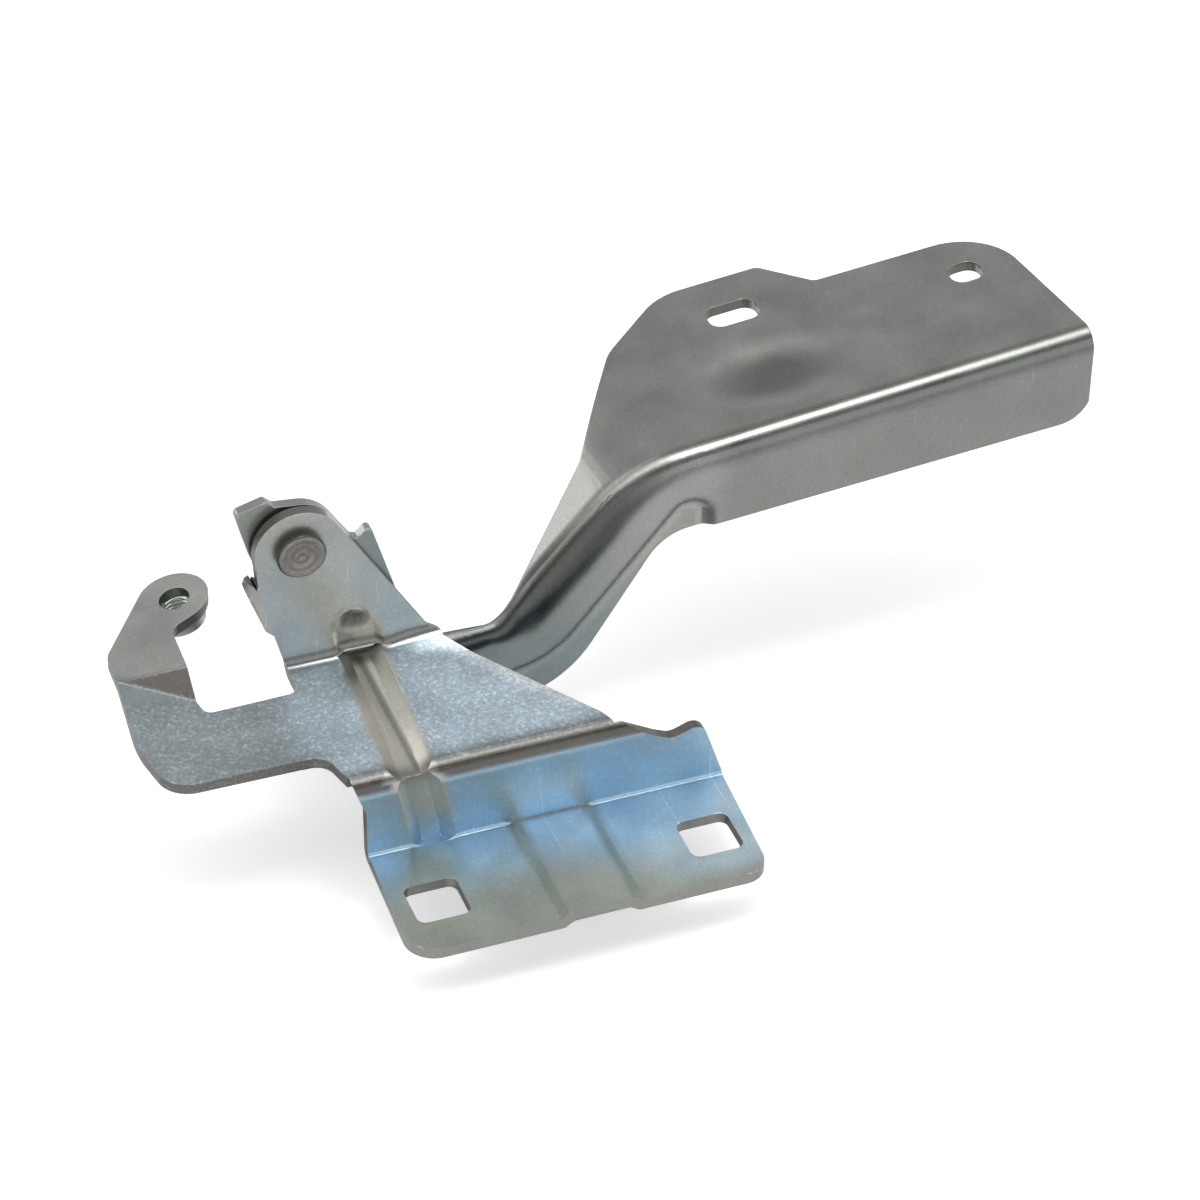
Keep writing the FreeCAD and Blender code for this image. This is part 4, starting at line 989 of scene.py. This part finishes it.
def joined_rings(name, rings):
    """A surface from closed rings of points, each joined to the next by a band of quads."""
    rows, steps = rings.shape[:2]
    row = np.arange(rows - 1)[:, None] * steps
    step = np.arange(steps)[None, :]
    after = (step + 1) % steps
    faces = np.stack([row + step, row + after, row + steps + after, row + steps + step], -1)
    mesh = bpy.data.meshes.new(name)
    mesh.from_pydata((rings.reshape(-1, 3) * MM).tolist(), [], faces.reshape(-1, 4).tolist())
    weld(mesh, SEAM_GAP, outward=True)
    return new_piece(name, mesh)


def turn_ring(side, axis, steps):
    """Unit vectors cos(a) * side + sin(a) * (axis x side), for even angles a."""
    angle = np.arange(steps) * 2 * np.pi / steps
    return np.cos(angle)[:, None] * side + np.sin(angle)[:, None] * np.cross(axis, side)


def arc(centre, radius, start, stop, count=7):
    """Points on an arc of the profile, from one angle to another in degrees."""
    angles = np.radians(np.linspace(start, stop, count))
    return [(centre[0] + radius * math.cos(a), centre[1] + radius * math.sin(a)) for a in angles]


print("turned surfaces: seams closed within", SEAM_GAP, "mm")

# %% Rivet
PIVOT = np.array([-47.4, 0.0, 62.0])
PIVOT_AXIS = np.array([0.0, 1.0, 0.0])
PIVOT_SIDE = np.array([1.0, 0.0, 0.0])
TURN_STEPS = 96
RIVET_FACE = (0.30, 0.275, 0.25)
RIVET_SIDE_SHADE = (0.07, 0.065, 0.06)
RIVET_GRAIN = 0.5
REAR_HEAD = [(0.0, 84.0)] + arc((7.1, 83.1), 0.9, 90, 0) + [(8.0, 81.55)]
SHANK = [(5.0, 81.5), (5.0, 76.4), (4.0, 76.4), (4.0, 73.4)]
FRONT_HEAD = [(6.3, 73.4)] + arc((5.75, 71.35), 0.75, 0, -90)
OUTER_RING = [(4.6, 70.62), (4.3, 70.74), (3.9, 70.66), (3.0, 70.68)]
INNER_RING = [(2.6, 70.86), (2.1, 71.0), (1.6, 70.9), (1.2, 70.84)]
CENTRE_PIT = [(0.7, 70.95), (0.35, 71.06), (0.0, 71.1)]
rivet_profile = REAR_HEAD + SHANK + FRONT_HEAD + OUTER_RING + INNER_RING + CENTRE_PIT
rivet_radius, rivet_along = np.array(rivet_profile).T
rivet_rings = rivet_radius[:, None, None] * turn_ring(PIVOT_SIDE, PIVOT_AXIS, TURN_STEPS)
rivet = joined_rings("rivet_skin", PIVOT + rivet_rings + rivet_along[:, None, None] * PIVOT_AXIS)
spots = points_of(rivet.data)
from_axis = np.hypot(spots[:, 0] - PIVOT[0], spots[:, 2] - PIVOT[2])
# Painted shade on the side of the front head.
side_shade = smooth_step(5.3, 5.9, from_axis) * smooth_step(74.0, 73.6, spots[:, 1])
# A paler ring on the rounded rim of the front face.
pale_rim = 0.5 * np.exp(-((from_axis - 5.75) / 0.35) ** 2) * smooth_step(71.6, 71.2, spots[:, 1])
paint(rivet.data, blend(blend(RIVET_FACE, RIVET_SIDE_SHADE, side_shade), EAR_GREY, pale_rim))
paint_grain(rivet.data, np.full(len(spots), RIVET_GRAIN))
finish_skin(rivet, "pivot_rivet", "bracket", rivet_steel)
print("rivet:", len(rivet.data.polygons), "faces")

# %% [markdown]
# The nut under the lug is round and welded on. Its thread shows through the lug's hole, so the bore is
# a real helix: the radius depends on both the height and the turn. The bush and the washer are almost
# hidden, so their solids stay as they are and only get a finish.

# %% Weld nut, bush and washer
LUG_TILT = math.radians(13.0)
NUT_AXIS = np.array([-math.sin(LUG_TILT), 0.0, math.cos(LUG_TILT)])
NUT_SIDE = np.array([math.cos(LUG_TILT), 0.0, math.sin(LUG_TILT)])
NUT_END = np.array([-70.80, 103.6, 23.36])
NUT_T = 5.0
NUT_STEPS = 72
NUT_LEVELS = 81
NUT_OUTSIDE = [(5.9, 0.0), (6.1, 0.0), (6.55, 0.35), (6.8, 0.75), (6.8, 4.9), (6.7, 5.0), (4.2, 5.0)]
THREAD_PITCH = 1.25
THREAD_ROOT = 3.98
THREAD_CREST = 3.42


def threaded_nut(name):
    """A round nut: the bore's radius is crest + (root - crest) * s(w), where w falls and rises once
    per pitch and is shifted by the turn of the helix, and the outside is a spun profile."""
    angle = np.arange(NUT_STEPS) * 2 * np.pi / NUT_STEPS
    level = np.linspace(0, NUT_T, NUT_LEVELS)[::-1]
    phase = level[:, None] / THREAD_PITCH - angle[None, :] / (2 * np.pi)
    wave = np.abs((phase % 1.0) * 2 - 1)
    bore = THREAD_CREST + (THREAD_ROOT - THREAD_CREST) * smooth_step(0.1, 0.9, wave)
    outside, outside_level = np.array(NUT_OUTSIDE).T
    radius = np.concatenate([bore, np.tile(outside[:, None], NUT_STEPS), bore[:1]])
    height = np.concatenate([level, outside_level, level[:1]])
    ring = turn_ring(NUT_SIDE, NUT_AXIS, NUT_STEPS)
    return joined_rings(name, NUT_END + radius[:, :, None] * ring + height[:, None, None] * NUT_AXIS)


nut = threaded_nut("nut_skin")
finish_skin(nut, "lug_weld_nut", "bracket", nut_zinc)
for name, material in (("pivot_bush", bush_bronze), ("thrust_washer", nut_zinc)):
    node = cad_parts[name]
    node.data.materials.clear()
    node.data.materials.append(material)
print("weld nut:", len(nut.data.polygons), "faces")

# %% [markdown]
# The scene is brought up to date once more, and that ends the script. The skins have to stay inside
# the box of the solids.

# %% The end
bpy.context.view_layer.update()
